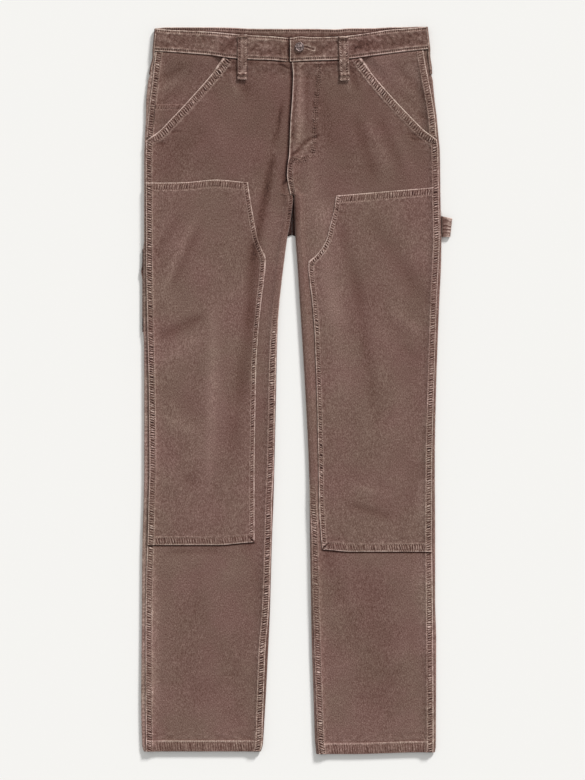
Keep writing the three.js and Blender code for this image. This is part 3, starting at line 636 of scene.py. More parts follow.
LEFT = Leg(
    name="left",
    sign=1,
    side=Curve([
        (-4, 215.5), (10, 217.5), (168, 218), (228, 216.5), (318, 216.5), (438, 216), (528, 217.5),
        (603, 219.8), (678, 222.8), (738, 225.5), (768, 225.8), (828, 224.5), (903, 223.5), (918, 222),
        (951, 219), (981, 215.3), (1008, 213), (1035, 211), (1048, 209.5), (1057, 208.8),
    ]),
    ridge=Curve([
        (-4, 213), (10, 213.8), (168, 213), (228, 212.5), (318, 211.5), (438, 212), (528, 214.2),
        (603, 216.5), (678, 219), (738, 222), (768, 223.2), (828, 222), (903, 220.5), (918, 218.7),
        (951, 216), (981, 211.5), (1008, 206.3), (1035, 201), (1048, 198.8), (1057, 197.5),
    ]),
    inner=Curve([
        (-4, 38.6), (18, 36), (78, 34), (168, 31), (228, 30), (318, 28.5), (378, 27.8), (438, 26.3),
        (528, 22), (610, 17.2), (678, 12.8), (738, 9), (772, 6.5), (828, 4.5),
    ]),
    inseam_wrap=Curve([
        (-4, -1.2), (18, -1.3), (78, -1), (168, -1.2), (228, 0), (318, 0.2), (378, 2.4), (438, 5), (528, 5),
        (610, 5), (678, 5), (738, 5), (772, 5), (828, 5),
    ]),
    pocket=Curve([
        (917, 220.5), (921, 215), (933, 199.5), (954, 178.5), (981, 153), (1012, 126), (1042, 102.5),
    ]),
    folds=creases([
        (40, 950, 34, 800, 16, -0.6), (110, 940, 90, 860, 26, 0.4), (120, 680, 112, 470, 30, 0.5),
        (165, 620, 170, 430, 30, -0.4), (115, 250, 125, 60, 32, 0.4),
    ]),
)


# Broad soft folds of each leg as it lies, from the crotch and the hips down to the hems; each is painted
# darker in its trough and paler on its ridge, as shade and light.
SHADES = {
    "right": creases([
        (-28, 890, -38, 835, 4.5, -0.7), (-38, 840, -55, 745, 6, -0.65), (-56, 760, -61, 650, 9, -0.8),
        (-61, 655, -76, 545, 11, -0.65), (-76, 550, -90, 430, 12, -0.5), (-118, 660, -118, 540, 9, 0.3),
        (-118, 550, -124, 405, 9, 0.34), (-196, 624, -133, 653, 8, -0.5), (-200, 585, -135, 622, 8, 0.25),
        (-186, 552, -136, 502, 15, -0.4), (-190, 500, -136, 475, 9, 0.25), (-158, 412, -144, 405, 10, -0.35),
        (-192, 690, -150, 790, 7, 0.25), (-178, 700, -138, 785, 7, -0.3), (-206, 740, -170, 800, 6, -0.2),
        (-95, 170, -80, 40, 24, -0.4), (-45, 180, -55, 320, 12, -0.2), (-206, 60, -208, 280, 9, 0.3),
        (-60, 1010, -40, 940, 16, -0.3), (-190, 900, -120, 930, 14, -0.2), (-135, 1000, -100, 900, 12, 0.15),
        (-180, 300, -110, 302, 5, -0.25), (-75, 302, -58, 312, 5, -0.2), (-150, 240, -140, 60, 38, -0.9),
    ]),
    "left": creases([
        (24, 895, 46, 800, 14, 0.42), (46, 805, 64, 660, 17, 0.6), (64, 670, 84, 530, 18, 0.5),
        (97, 948, 125, 865, 8, -0.42), (116, 945, 146, 875, 7, 0.18), (132, 950, 164, 885, 8, -0.3),
        (156, 925, 184, 868, 8, 0.18), (74, 795, 100, 690, 9, -0.3), (100, 700, 124, 520, 10, -0.42),
        (120, 800, 192, 688, 12, -0.42), (152, 664, 192, 628, 8, 0.25), (165, 608, 192, 592, 7, -0.2),
        (90, 370, 146, 354, 6, -0.28), (94, 398, 146, 385, 7, 0.2), (196, 410, 196, 340, 9, 0.4),
        (46, 305, 90, 190, 13, -0.22), (150, 130, 120, 60, 20, -0.3), (60, 120, 95, 140, 14, 0.2),
        (200, 300, 200, 150, 9, 0.3), (45, 990, 62, 910, 10, -0.3), (46, 292, 66, 297, 5, -0.18),
        (120, 260, 130, 50, 38, -0.9), (70, 1000, 80, 880, 16, -0.3),
    ]),
}


# Smaller creases of single pieces, each at its place in the photograph, painted darker in their troughs and
# paler on their ridges as shade and light.
CREASES = {
    "right_front": creases([
        (-13.5, 970, -24, 915, 2.6, -0.7), (-13, 870, -10, 828, 2.5, -0.3),
        (-181, 931, -166, 930, 2.0, -0.45), (-204, 913, -189, 912, 2.2, -0.5),
        (-18, 1033, -3, 1025, 1.8, -0.75), (-18, 1030, -4, 1022, 1.6, 0.3), (-84, 1030, -66, 990, 5, -0.3),
        (-92, 1020, -80, 985, 4, 0.3), (-98, 1039, -82, 1037, 3.4, -0.5), (-64, 1035, -50, 1034, 3.4, -0.5),
        (-16, 1031, -6, 1030, 3, -0.45),
    ]),
    "left_front": creases([
        (40, 925, 21, 915, 2.4, -0.7), (21, 915, 3, 895, 2.6, -0.7), (110, 1036, 126, 1038, 1.8, -0.5),
        (36, 918, 22, 908, 2.0, 0.4), (13, 1020, 13, 915, 6, 0.3), (25, 1020, 25, 930, 5, -0.2),
        (126, 1038, 166, 1047, 2.0, -0.35), (178, 928, 194, 924, 2.2, -0.5), (181, 921, 202, 918, 2.2, -0.5),
        (88, 1030, 100, 995, 4.5, -0.3), (80, 1024, 88, 992, 4, 0.3), (52, 1034, 69, 1035, 3.4, -0.5),
        (86, 1037, 102, 1040, 3.4, -0.5),
    ]),
    "right_facing": creases([
        (-200, 952, -182, 957, 3, -0.35), (-204, 1006, -159, 1030, 4, -0.22), (-204, 990, -165, 1012, 5, 0.2),
        (-200, 970, -170, 992, 4, -0.15),
    ]),
    "left_facing": creases([
        (190, 958, 205, 950, 4, -0.3), (160, 1032, 200, 980, 5, -0.18), (172, 1034, 205, 992, 5, 0.15),
        (140, 1010, 190, 965, 5, -0.15),
    ]),
    "waistband": creases([
        (-196, 1063, -178, 1059, 2.4, -0.35), (-62, 1048, -50, 1064, 2.2, -0.45),
        (-46, 1044, -28, 1050, 2.2, -0.45), (-60, 1066, -34, 1069, 2.0, 0.3),
        (-54, 1054, -30, 1061, 2.4, 0.3), (-20, 1046, -6, 1062, 3, -0.3), (-104, 1050, -84, 1070, 4, -0.3),
        (-124, 1052, -112, 1062, 4, 0.25), (96, 1056, 130, 1064, 4, -0.35), (40, 1048, 62, 1066, 2.4, -0.4),
        (48, 1044, 68, 1058, 2.2, 0.3), (92, 1048, 112, 1072, 4, -0.3), (6, 1045, 22, 1048, 2.4, -0.4),
        (2, 1050, 4, 1068, 1.6, 0.25), (150, 1060, 196, 1078, 4, -0.25),
    ]),
}

# Inner edges of the knee panels: rows of y and u, upwards, with the shoulder above 740.
KNEE_EDGES = {
    "right": (
        (314, 54.8), (423, 54.8), (528, 53.2), (588, 51.8), (633, 48.8), (678, 44.3), (708, 40.5),
        (741, 38.2), (753, 43.5), (768, 49.5), (790, 54), (823, 60), (853, 64.5),
    ),
    "left": (
        (302, 46.5), (333, 44.3), (378, 42), (430, 41.2), (498, 39.8), (573, 37.5), (633, 35.2), (678, 31.5),
        (708, 27.8), (734, 26.2), (745, 37.5), (756, 46.5), (771, 54), (790, 58.5), (813, 64.5), (834, 67.5),
    ),
}


class Slot(Enum):
    """Material slots."""

    CANVAS = "canvas"
    FACING = "facing"
    BUTTON = "button"


def deselect() -> None:
    """Leave nothing selected."""
    bpy.ops.object.select_all(action="DESELECT")


def to_metres(points: Array) -> Array:
    """Garment millimetres to the frame's metres."""
    return (np.asarray(points, float) + GARMENT_SHIFT) * MM


def set_attribute(mesh: bpy.types.Mesh, name: str, values: Array) -> None:
    """Store one value for each vertex, for a material to read."""
    attribute = mesh.attributes.new(name, "FLOAT", "POINT")
    attribute.data.foreach_set("value", np.ascontiguousarray(values, np.float32).ravel())


def apply_modifier(piece: bpy.types.Object, kind: str, **settings: object) -> None:
    """Add one modifier with its settings and apply it.

    Args:
        piece: The piece.
        kind: Kind of modifier.
        settings: The modifier's own properties.
    """
    bpy.context.view_layer.objects.active = piece
    modifier = piece.modifiers.new(kind.lower(), kind)
    for name, value in settings.items():
        setattr(modifier, name, value)
    bpy.ops.object.modifier_apply(modifier=modifier.name)


def cloth_object(name: str, points: Array, relief: Relief, wall: float, faces_up: bool) -> bpy.types.Object:
    """Closed cloth from a grid whose vertices are moved to their places.

    Args:
        name: Name of the piece.
        points: Places of the outer surface, as rows, columns and x, y, z in millimetres.
        relief: Fading with painted light and shade, rumples and sewn bands at each place.
        wall: Thickness of the cloth.
        faces_up: Whether the outer surface faces up in the middle of the grid.

    Returns:
        The piece, with its place in its mesh.
    """
    rows, columns = points.shape[:2]
    wear_and_shading, rumple, seam = relief.wear_and_shading, relief.rumple, relief.seam
    r, c = rows // 2, columns // 2
    normal = np.cross(points[r, c + 1] - points[r, c], points[r + 1, c] - points[r, c])
    if (normal[2] > 0) != faces_up:
        points = points[:, ::-1]
        wear_and_shading, rumple, seam = (values[:, ::-1] for values in (wear_and_shading, rumple, seam))
    deselect()
    bpy.ops.mesh.primitive_grid_add(x_subdivisions=columns - 1, y_subdivisions=rows - 1, size=1)
    piece = bpy.context.object
    piece.name = piece.data.name = name
    piece.data.vertices.foreach_set("co", to_metres(points).astype(np.float32).ravel())
    set_attribute(piece.data, "wear_and_shading", np.clip(0.5 + wear_and_shading, 0, 1))
    set_attribute(piece.data, "rumple", np.clip(rumple, 0, 1))
    for i, name in enumerate(("seam_along", "seam_across", "seam_strength")):
        set_attribute(piece.data, name, seam[..., i])
    apply_modifier(piece, "SOLIDIFY", thickness=wall * MM, offset=-1.0, use_rim=True)
    bpy.ops.object.shade_smooth()
    return piece


def spread(width: Array, near: Array, far: Array, middle: int) -> Array:
    """Places across each row: fine beside both edges and even between them.

    Args:
        width: Width of each row.
        near: Distances in from the first edge.
        far: Distances in from the last edge, as one list or one for each row.
        middle: Number of steps between the two fine parts.

    Returns:
        Distances from the first edge, as rows and columns.
    """
    width = np.asarray(width, float)[:, None]
    near = np.broadcast_to(near, (len(width), np.shape(near)[-1]))
    far = np.broadcast_to(far, (len(width), np.shape(far)[-1]))
    start, end = near[:, -1:], width - far[:, -1:]
    between = start + (end - start) * np.linspace(0, 1, middle + 1)[None, 1:-1]
    return np.hstack([near, between, width - far[:, ::-1]])


FINE_EDGE = np.array([0, 0.2, 0.6, 1.1, 1.8, 2.6, 3.6, 4.8, 6.0, 7.2, 8.4, 9.4, 10.4, 11.6, 13, 15, 17.5])
FOLD_EDGE = np.array([0, 0.2, 0.6, 1.1, 1.8, 2.8, 4, 5.4, 7, 8.6, 10.4, 12.4, 15])


class ClothPiece:
    """One cut and sewn piece of cloth, named for the solid that it stands for."""

    node = ""
    rests_on: tuple[str, ...] = ()
    slot = Slot.CANVAS
    wall = SHELL
    faces_up = True

    def places(self) -> tuple[Array, Array]:
        """Grid of places on the flat piece, as rows and columns."""
        raise NotImplementedError

    def surface(self, across: Array, along: Array, lift: float = 0.0) -> tuple[Array, Relief]:
        """Points on the piece's outer surface and the relief on them."""
        raise NotImplementedError

    def build(self, finish: Finish) -> bpy.types.Object:
        """Make the piece, dress it, hang it on the root and hide its solid.

        Args:
            finish: The cloth's finish.

        Returns:
            The finished piece.
        """
        points, relief = self.surface(*self.places())
        piece = cloth_object(f"{self.node}_cloth", points, relief, self.wall, self.faces_up)
        piece.data.materials.append(finish.material())
        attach(piece, "root")
        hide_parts(self.node)
        LOG.info("%s: %d faces", piece.name, len(piece.data.polygons))
        return piece


class LegPiece(ClothPiece):
    """A piece that both legs have, named for its leg and its part."""

    leg: Leg
    part = ""
    lies_on: tuple[str, ...] = ()

    @property
    def node(self) -> str:
        """Name of the solid that the piece stands for."""
        return f"{self.leg.name}_{self.part}"

    @property
    def rests_on(self) -> tuple[str, ...]:
        """Names of the solids that carry it."""
        return tuple(name.format(leg=self.leg.name) for name in self.lies_on)


@dataclass
class FrontPanel(LegPiece):
    """Front of one leg: hem to waist seam, with its side of the fly and its pocket edge."""

    leg: Leg
    knee: KneePanel
    marks: tuple[Crease, ...]
    cut: tuple[float, float] = (0.236, 1.062)
    area: float | None = 0.2
    columns: int = 36
    seed: int = 3
    part = "front"
    lies_on = ("{leg}_back",)

    def __post_init__(self) -> None:
        """Take the pocket's edge as a line."""
        self.pocket_edge = self.leg.pocket_line()

    def start(self, y: Array) -> Array:
        """The cloth's inner edge, where it starts across each row."""
        return self.leg.fold_at(y) - self.leg.wrap(y)

    def places(self) -> tuple[Array, Array]:
        """Rows from the hem to the waist seam; columns fine beside the seams.

        Returns:
            Places across and along, as two grids.
        """
        hem_rows = [0, 0.3, 0.8, 1.4, 2.2, 3.4, 4.8, 6.4, 8, 9.6, 11.2, 12.8, 14, 15.2, 16.4, 17.6, 19]
        rows = np.concatenate([hem_rows, np.arange(20.6, 1034, ROW_STEP), np.linspace(1034, WAIST_ROW, 7)])
        outer = np.minimum(self.leg.ridge(rows), self.leg.slant(rows))
        start = self.start(rows)
        stretch = np.where(rows > SLANT_END_Y, self.leg.lean(np.maximum(rows, SLANT_END_Y + 2)), 1.0)
        place = start[:, None] + spread(outer - start, FINE_EDGE, stretch[:, None] * FINE_EDGE, self.columns)
        y = np.repeat(rows[:, None], place.shape[1], axis=1)
        seam = self.leg.seam(place) + WAIST_HIDDEN
        return place, self.leg.fit_rows(place, y, seam, TOP_START, WAIST_ROW)

    def relief(self, place: Array, y: Array) -> Relief:
        """All that rises from or sinks into the plain front.

        Args:
            place: Places out from the centre line.
            y: Heights along the garment.

        Returns:
            What gathers on the panel.
        """
        leg = self.leg
        relief = Relief(leg.sign * place, y)
        shown = 1 - self.knee.cover(place, y)
        inner, outer = place - self.start(y), leg.ridge(y) - place
        hem = y - leg.hem(place)
        below = 1.0 * leg.below_fork(y)
        soft = ramp(np.minimum(place - leg.inner(y), outer), 6, 26) * ramp(hem, 10, 30)
        relief.swell(self.seed, shown * soft)
        relief.crease(self.marks + SHADES[leg.name])
        relief.wear_and_shading += TONE(y)
        sides = shown * ramp(y, SLANT_END_Y + 6, SLANT_END_Y - 4)
        relief.rows(y, outer, FELLED, self.seed + 5, sides)
        relief.rows(y, inner, FELLED, self.seed + 9, below * ramp(leg.wrap(y), 4.4, 1.6))
        if not leg.is_left:
            strip = place - leg.fold_at(y) + LAP_RADIUS
            relief.rows(y, strip, STRIP_ROWS, self.seed + 17, below * ramp(y, 782, 806))
        relief.rows(relief.x, hem, HEM_ROWS, self.seed + 13)
        relief.edge(np.where(sides > 0, outer, 99))
        relief.edge(np.where(below > 0, inner, 99), mix(0.5 if leg.is_left else 1.0, 1.0, ramp(y, 280, 400)))
        relief.edge(hem, 1.0, 0.1)
        # Painted shade along the inner fold just below the crotch, where the legs meet.
        dark = ramp(y, 765, 800) * ramp(y, 838, 812)
        relief.wear_and_shading -= 0.17 * below * dark * ramp(place - leg.fold_at(y), 4, 0)
        # Painted shade at the foot of the raised hem's edge, and fading along its fold.
        relief.lines(hem, ((17.6, 0.9, 0.0, -0.22), (15.9, 1.0, 0.0, 0.3)))
        relief.height += HEM_RAISE * ease(hem, 18, 15.6)
        # Painted shadow on the front just below the knee panel's lower edge.
        knee_side = self.knee.edge_rows[0][1]
        under_knee = ramp(place, knee_side - 1, knee_side + 1)
        relief.line(self.knee.bottom(place) - y - 0.8, 1.4, 0.0, -0.5, under_knee)
        self.centre(relief, place, y, inner)
        self.pocket(relief, place, y)
        self.waist(relief, place, y)
        relief.height = relief.height * shown - 0.35 * (1 - shown)
        return relief

    def waist(self, relief: Relief, place: Array, y: Array) -> None:
        """Painted shadow under the edge of the waistband, and puckers below it, painted pale on their ridge
        and dark in their valley as light and shade.

        Args:
            relief: What gathers on the sheet.
            place: Places out from the centre line.
            y: Heights along the garment.
        """
        seam = self.leg.seam(place) - y
        near = ramp(y, 1000, 1015)
        relief.line(seam - 0.7, 0.8, 0.0, -0.34, near)
        relief.line(seam - 3.6, 1.0, 0.08, 0.2, near * (0.7 + 0.5 * wander(relief.x, 0, 30, 5)))
        relief.line(seam - 5.4, 1.0, -0.1, -0.16, near * (0.6 + 0.6 * wander(relief.x, 0, 30, 5)))
        relief.rumple += 0.4 * near
        relief.crumple(9.0, 0.12, ramp(y, 1012, 1026), self.seed + 31, 0.2)

    def centre(self, relief: Relief, place: Array, y: Array, inner: Array) -> None:
        """Centre seam and fly, with painted shade on the right front under the left front's lapped edge and
        in a shallow valley beside that edge.

        Args:
            relief: What gathers on the sheet.
            place: Places out from the centre line.
            y: Heights along the garment.
            inner: Distance in from the inner edge.
        """
        leg = self.leg
        above = 1.0 - leg.below_fork(y)
        if not leg.is_left:
            # Painted shade in the gap under the left front's lapped edge.
            gap = ramp(y, 850, 862) * (0.8 + 0.5 * ramp(y, 960, 1010))
            relief.line(place - self.start(y) - UNDERLAP, 2.7, -0.6, -1.5, gap)
            return
        relief.edge(inner, above, 0.85)
        relief.line(inner - 4.5, 1.2, -0.1, -0.16, above)
        low = above * ramp(y, 897, 885)
        relief.rows(y, inner, CENTRE_ROWS, 61, low)
        along, across = FLY_CURVE.measure(relief.x, y)
        relief.rows(along, across - 2.2, Rows(-1.3, 1.3, depth=0.0, strength=0.45), 71, above)
        relief.line(across - 2.2, 1.3, 0.2, -0.16, above)
        creased = above * ramp(y, 880, 892) * ramp(y, 955, 925) * ramp(relief.x, 40, 30)
        relief.crumple(8.0, 0.22, creased, 75, -0.6)
        inside = above * ramp(y, 880, 900) * ramp(relief.x, 36, 20)
        relief.rumple += 0.3 * inside
        relief.wear_and_shading += 0.05 * above * ramp(y, 884, 896) * ramp(relief.x, 36, 30)

    def pocket(self, relief: Relief, place: Array, y: Array) -> None:
        """The slanted pocket's folded edge and its twin rows.

        Args:
            relief: What gathers on the sheet.
            place: Places out from the centre line.
            y: Heights along the garment.
        """
        near = y > SLANT_END_Y - 20
        along, across = np.zeros(place.shape), np.full(place.shape, 99.0)
        along[near], across[near] = self.pocket_edge.measure(place[near], y[near])
        on = np.where(y > SLANT_END_Y - 14, 1.0, 0.0)
        relief.rows(along, across, SLANTED, self.seed + 21, on)
        relief.edge(across, on, 0.66)
        relief.wear_and_shading += 0.06 * on * ease(across, 14.5, 11)
        relief.height += on * SLANT_RAISE * ease(across, 13.5, 11)
        relief.height += 0.7 * on * ease(across, 9, 3) * ramp(y, 962, 940)

    def surface(self, across: Array, along: Array, lift: float = 0.0) -> tuple[Array, Relief]:
        """Points on the top of the front.

        Args:
            across: Places out from the centre line.
            along: Heights along the garment.
            lift: Distance out from the surface.

        Returns:
            The points and the relief on them.
        """
        leg = self.leg
        relief = self.relief(across, along)
        fold = leg.fold_at(along)
        top = leg.drawn_up(across, along, leg.front_top(across, along) + relief.height, 22) + lift
        angle = np.maximum(0.0, fold - across) / LAP_MID_RADIUS * leg.below_fork(along)
        radius = LAP_RADIUS + relief.height + lift
        u = np.where(angle > 0, fold - radius * np.sin(angle), across)
        z = np.where(angle > 0, FOLD_RADIUS + radius * np.cos(angle), top)
        return leg.points(u, along, z), relief


FLY_CURVE = Path([
    (40.5, 1036), (42, 1008), (38.5, 985), (36.8, 963), (35.3, 933), (34.3, 906), (31, 896), (24, 890.5),
    (13.5, 888), (-2, 886),
])


@dataclass
class KneePanel(LegPiece):
    """Doubled panel over the thigh and knee, with the sloping shoulder on its inner side."""

    leg: Leg
    edge_rows: tuple[tuple[float, float], ...]
    cut: tuple[float, float] = (0.186, 0.558)
    area: float | None = 0.09
    columns: int = 34
    seed: int = 103
    part = "knee_panel"
    lies_on = ("{leg}_front",)

    def __post_init__(self) -> None:
        """Take the inner edge as a curve and as a line."""
        self.edge = Curve(list(self.edge_rows))
        self.edge_path = Path([(u, y) for y, u in self.edge_rows])

    def bottom(self, u: Array) -> Array:
        """Lower edge.

        Args:
            u: Places out from the centre line.

        Returns:
            Its height.
        """
        if self.leg.is_left:
            return 300.5 + 3 * ease(u, 90, 46)
        return 310.5 + 4 * ease(u, 110, 55)

    def top(self, u: Array) -> Array:
        """Upper edge.

        Args:
            u: Places out from the centre line.

        Returns:
            Its height.
        """
        if self.leg.is_left:
            return mix(834.5, 847.5, ramp(u, 67, 222))
        return 854 + 4.5 * np.exp(-(((u - 112) / 34) ** 2))

    def cover(self, u: Array, y: Array) -> Array:
        """1 where the panel hides the front, 0 outside it."""
        above, below = y - self.bottom(u), self.top(u) - y
        return ease(u - self.edge(y), 0.5, 3.5) * ramp(above, 0.5, 3) * ramp(below, 0.5, 3)

    def places(self) -> tuple[Array, Array]:
        """Rows between the lower and the upper edge; columns from the inner edge to the side.

        Returns:
            Places across and along, as two grids.
        """
        ends = FOLD_EDGE / 550
        middle = np.arange(ends[-1] + 0.003, 1 - ends[-1] - 0.001, ROW_STEP / 545)
        share = np.concatenate([ends, middle, 1 - ends[::-1]])
        y = mix(self.bottom(120), self.top(120), share)[:, None]
        place = y
        for _ in range(4):
            inner, outer = self.edge(y[:, 0]), self.leg.ridge(y[:, -1]) - 0.6
            place = inner[:, None] + spread(outer - inner, FINE_EDGE, FINE_EDGE, self.columns)
            y = mix(self.bottom(place), self.top(place), share[:, None])
        return place, y

    def relief(self, place: Array, y: Array) -> Relief:
        """All that rises from or sinks into the plain panel.

        Args:
            place: Places out from the centre line.
            y: Heights along the garment.

        Returns:
            What gathers on the panel.
        """
        leg = self.leg
        relief = Relief(leg.sign * place, y)
        outer = leg.ridge(y) - place
        along, across = self.edge_path.measure(place, y)
        low, high = y - self.bottom(place), self.top(place) - y
        soft = ramp(np.minimum(np.minimum(across, outer), np.minimum(low, high)), 6, 30)
        relief.swell(self.seed, soft)
        relief.crease(SHADES[leg.name])
        relief.wear_and_shading -= 0.015
        relief.rows(y, outer, FELLED, self.seed + 5)
        relief.rows(along, across, KNEE_SIDE, self.seed + 7)
        for distance, seed in ((low, 9), (high, 11)):
            relief.rows(relief.x, distance, KNEE_ENDS, self.seed + seed, ramp(outer, 7, 12))
        relief.edge(np.minimum(across, np.minimum(low, high)), 1.0, 0.48)
        relief.edge(outer, 1.0, 0.75)
        start, end = self.edge_rows[0][1], float(self.bottom(self.edge_rows[0][1]))
        _, away = Path([(start + 1, end + 1), (start + 8.5, end + 9.5)]).measure(place, y)
        relief.line(away, 1.3, -0.25, -1.0)
        relief.line(away - 1.8, 0.8, 0.1, 0.2, away < 4)
        return relief

    def surface(self, across: Array, along: Array, lift: float = 0.0) -> tuple[Array, Relief]:
        """Points on the top of the panel.

        Args:
            across: Places out from the centre line.
            along: Heights along the garment.
            lift: Distance out from the surface.

        Returns:
            The points and the relief on them.
        """
        relief = self.relief(across, along)
        z = self.leg.front_top(across, along) + SEAM_GAP + CLOTH + relief.height + lift
        return self.leg.points(across, along, z), relief


TOOL_POCKET = {"bottom": 630.0, "top": 754.5, "inner": 108.0, "edge_angle": 1.75, "lift": CLOTH + SEAM_GAP}
SIDE_LOOP_BOTTOM = 1017.0


def pocket_lift(leg: Leg, u: Array, y: Array) -> Array:
    """How far the right back is lifted to lie on the tool pocket.

    Args:
        leg: The leg.
        u: Places out from the centre line.
        y: Heights along the garment.

    Returns:
        Lift at each place; none on the left.
    """
    along = ramp(y, TOOL_POCKET["bottom"] - 12, TOOL_POCKET["bottom"] - 2)
    along = along * ramp(y, TOOL_POCKET["top"] + 11.5, TOOL_POCKET["top"] + 1.5)
    lift = TOOL_POCKET["lift"] * along * ramp(u, TOOL_POCKET["inner"] - 12, TOOL_POCKET["inner"] - 2)
    return lift * (0.0 if leg.is_left else 1.0)


def side_roll(leg: Leg, y: Array) -> tuple[Array, Array, Array]:
    """Radius and centre (u, z) of the back's roll at the side.

    Args:
        leg: The leg.
        y: Heights along the garment.

    Returns:
        Its radius, and u and z of its centre.
    """
    radius = (ROLL_TOP - pocket_lift(leg, leg.side(y), y)) / 2
    room = LOOP_ROOM * ramp(y, SIDE_LOOP_BOTTOM - 9, SIDE_LOOP_BOTTOM - 2)
    tuck = WAIST_TUCK * ramp(y, SIDE_LOOP_BOTTOM + 9, WAIST_ROW)
    return radius, leg.side(y) - radius - room - tuck, ROLL_TOP - radius


@dataclass
class BackPanel(LegPiece):
    """Back of one leg: flat on the surface, rolled over at the side and along the inseam."""

    leg: Leg
    cut: tuple[float, float] = (0.262, 1.062)
    area: float | None = 0.235
    seed: int = 203
    seat_curl: float = math.pi / 9
    seat_strip: float = 0.6
    curled_below: float = 700.0
    strip_ends: tuple[float, float] = (705.0, 678.0)
    pucker_pitch: float = 4.6
    part = "back"
    faces_up = False

    def places(self) -> tuple[Array, Array]:
        """Shares across the rolled outline, and rows from the hem to the waist.

        Returns:
            Places across and along, as two grids.
        """
        rows = np.concatenate([
            [0, 0.4, 1, 2, 4, 7, 10, 13, 16], np.arange(19, 1048, BACK_ROW_STEP), [BACK_WAIST_ROW],
        ])
        steps = np.concatenate([
            [0.0, 0.5], np.linspace(1, 2, 9), np.linspace(2, 3, 34)[1:], np.linspace(3, 4, 11)[1:],
            [4.4, 5.0],
        ])
        return np.meshgrid(steps, rows)

    def pucker(self, y: Array) -> Array:
        """Small waves in the rolled sides, which the seams draw up.

        Args:
            y: Heights along the garment.

        Returns:
            Height of the waves.
        """
        turn = 2 * math.pi * y / self.pucker_pitch + 2.5 * wander(y, 0, 19, self.seed)
        wave = 0.2 * np.sin(turn)
        return wave * np.clip(0.7 + 0.7 * wander(y, 3, 40, self.seed + 1), 0, 1.4) * ramp(y, 4, 14)

    def inner_fold(self, across: Array, y: Array, out: Array) -> tuple[Array, Array, Array, Array]:
        """The fold along the inseam, which opens into the seat seam, and its turned strip.

        Args:
            across: Steps across the rolled outline.
            y: Heights along the garment.
            out: Distance out from the rolled surface.

        Returns:
            Where the fold starts, how far it has turned, and its u and z.
        """
        curl = mix(self.seat_curl, math.pi, ramp(y, CROTCH_BACK_Y - 3, self.curled_below))
        strip = mix(self.seat_strip, STRIP_REACH - self.leg.wrap(y), ramp(y, *self.strip_ends))
        seat_reach = FOLD_RADIUS * math.sin(self.seat_curl) + self.seat_strip * math.cos(self.seat_curl)
        seat = self.leg.sign * SEAT_SEAM_X + SEAM_GAP / 2 + seat_reach
        start = np.where(y >= CROTCH_BACK_Y, seat, self.leg.fold_at(y))
        angle = curl * (1 - np.clip(across - 1, 0, 1))
        length = strip * (1 - np.clip(across, 0, 1))
        radius = FOLD_RADIUS + out * ramp(angle, 0.3, 1.0)
        u = start - radius * np.sin(angle) - length * np.cos(angle)
        return start, angle, u, FOLD_RADIUS - radius * np.cos(angle) + length * np.sin(angle)

    def side_fold(self, across: Array, y: Array, out: Array) -> tuple[Array, Array, Array, Array]:
        """The roll at the side and the strip that turns in under the front.

        Args:
            across: Steps across the rolled outline.
            y: Heights along the garment.
            out: Distance out from the rolled surface.

        Returns:
            Where the roll starts, how far it has turned, and its u and z.
        """
        radius, side_u, side_z = side_roll(self.leg, y)
        turn = math.pi * np.clip(across - 3, 0, 1)
        wide = radius + out * ramp(turn, 0.3, 1.0)
        past = np.clip(across - 4, 0, 1) * (side_u - self.leg.ridge(y) + STRIP_REACH)
        return side_u, turn, side_u + wide * np.sin(turn) - past, side_z - wide * np.cos(turn)

    def surface(self, across: Array, along: Array, lift: float = 0.0) -> tuple[Array, Relief]:
        """Points on the outside of the back.

        Args:
            across: 0 to 1 on the inseam's turned strip, to 2 round its fold, to 3 over the flat,
                to 4 round the side, to 5 on the side's turned strip.
            along: Height of the row.
            lift: Distance out from the surface.

        Returns:
            The points and the relief on them, with fading and painted light and shade.
        """
        leg, y = self.leg, along
        pucker = self.pucker(y)
        inner, angle, first_u, first_z = self.inner_fold(across, y, lift + 0.5 * pucker)
        side_u, turn, last_u, last_z = self.side_fold(across, y, lift + pucker)
        flat = np.clip(across - 2, 0, 1)
        flat_u = mix(inner, side_u, flat)
        dimple = 0.16 * (1 + wander(leg.sign * flat_u, y, 40, self.seed + 3)) * ramp(flat, 0.02, 0.2)
        middle_z = pocket_lift(leg, flat_u, y) + dimple * ramp(flat, 0.98, 0.8) - lift
        u = np.where(across < 2, first_u, np.where(across <= 3, flat_u, last_u))
        z = np.where(across < 2, first_z, np.where(across <= 3, middle_z, last_z))
        seam = np.where(z < FOLD_RADIUS, BACK_SEAM(leg.sign * u), leg.seam(u)) - SEAM_GAP
        placed = leg.fit_rows(u, y, seam, BACK_TOP_START, BACK_WAIST_ROW)
        # Colour of the back. Where a roll faces away from the light it is painted paler (the right leg's
        # side, the left leg's inseam), and where it faces the light darker (the right leg's inseam). Puckers
        # are paler on their crests and darker in their troughs, as painted light and shade. The turned strip
        # under the front is painted darker as shade, there is a paler band along the side's roll, and the
        # seat between the legs is painted dark as shade.
        shaded = 0.0 if leg.is_left else 1.0
        uneven = wander(u, y, 9, self.seed + 5)
        side = 0.5 * pucker + 0.12 * np.exp(-(((turn - 1.7) / 0.5) ** 2)) + 0.05 * uneven
        side = side - 0.12 * ramp(across, 4.0, 4.5)
        rolled = side + (0.1 - 0.25 * shaded) * ramp(angle, 1.2, 2.2)
        seat = -0.68 * ramp(y, 755, 775) * ramp(flat_u, 26, 14)
        relief = Relief(leg.sign * u, placed)
        relief.wear_and_shading += np.where(across < 2, rolled + seat, np.where(across <= 3, seat, side + 0.22 * shaded))
        relief.wear_and_shading += 0.04 * uneven
        return leg.points(u, placed, z), relief


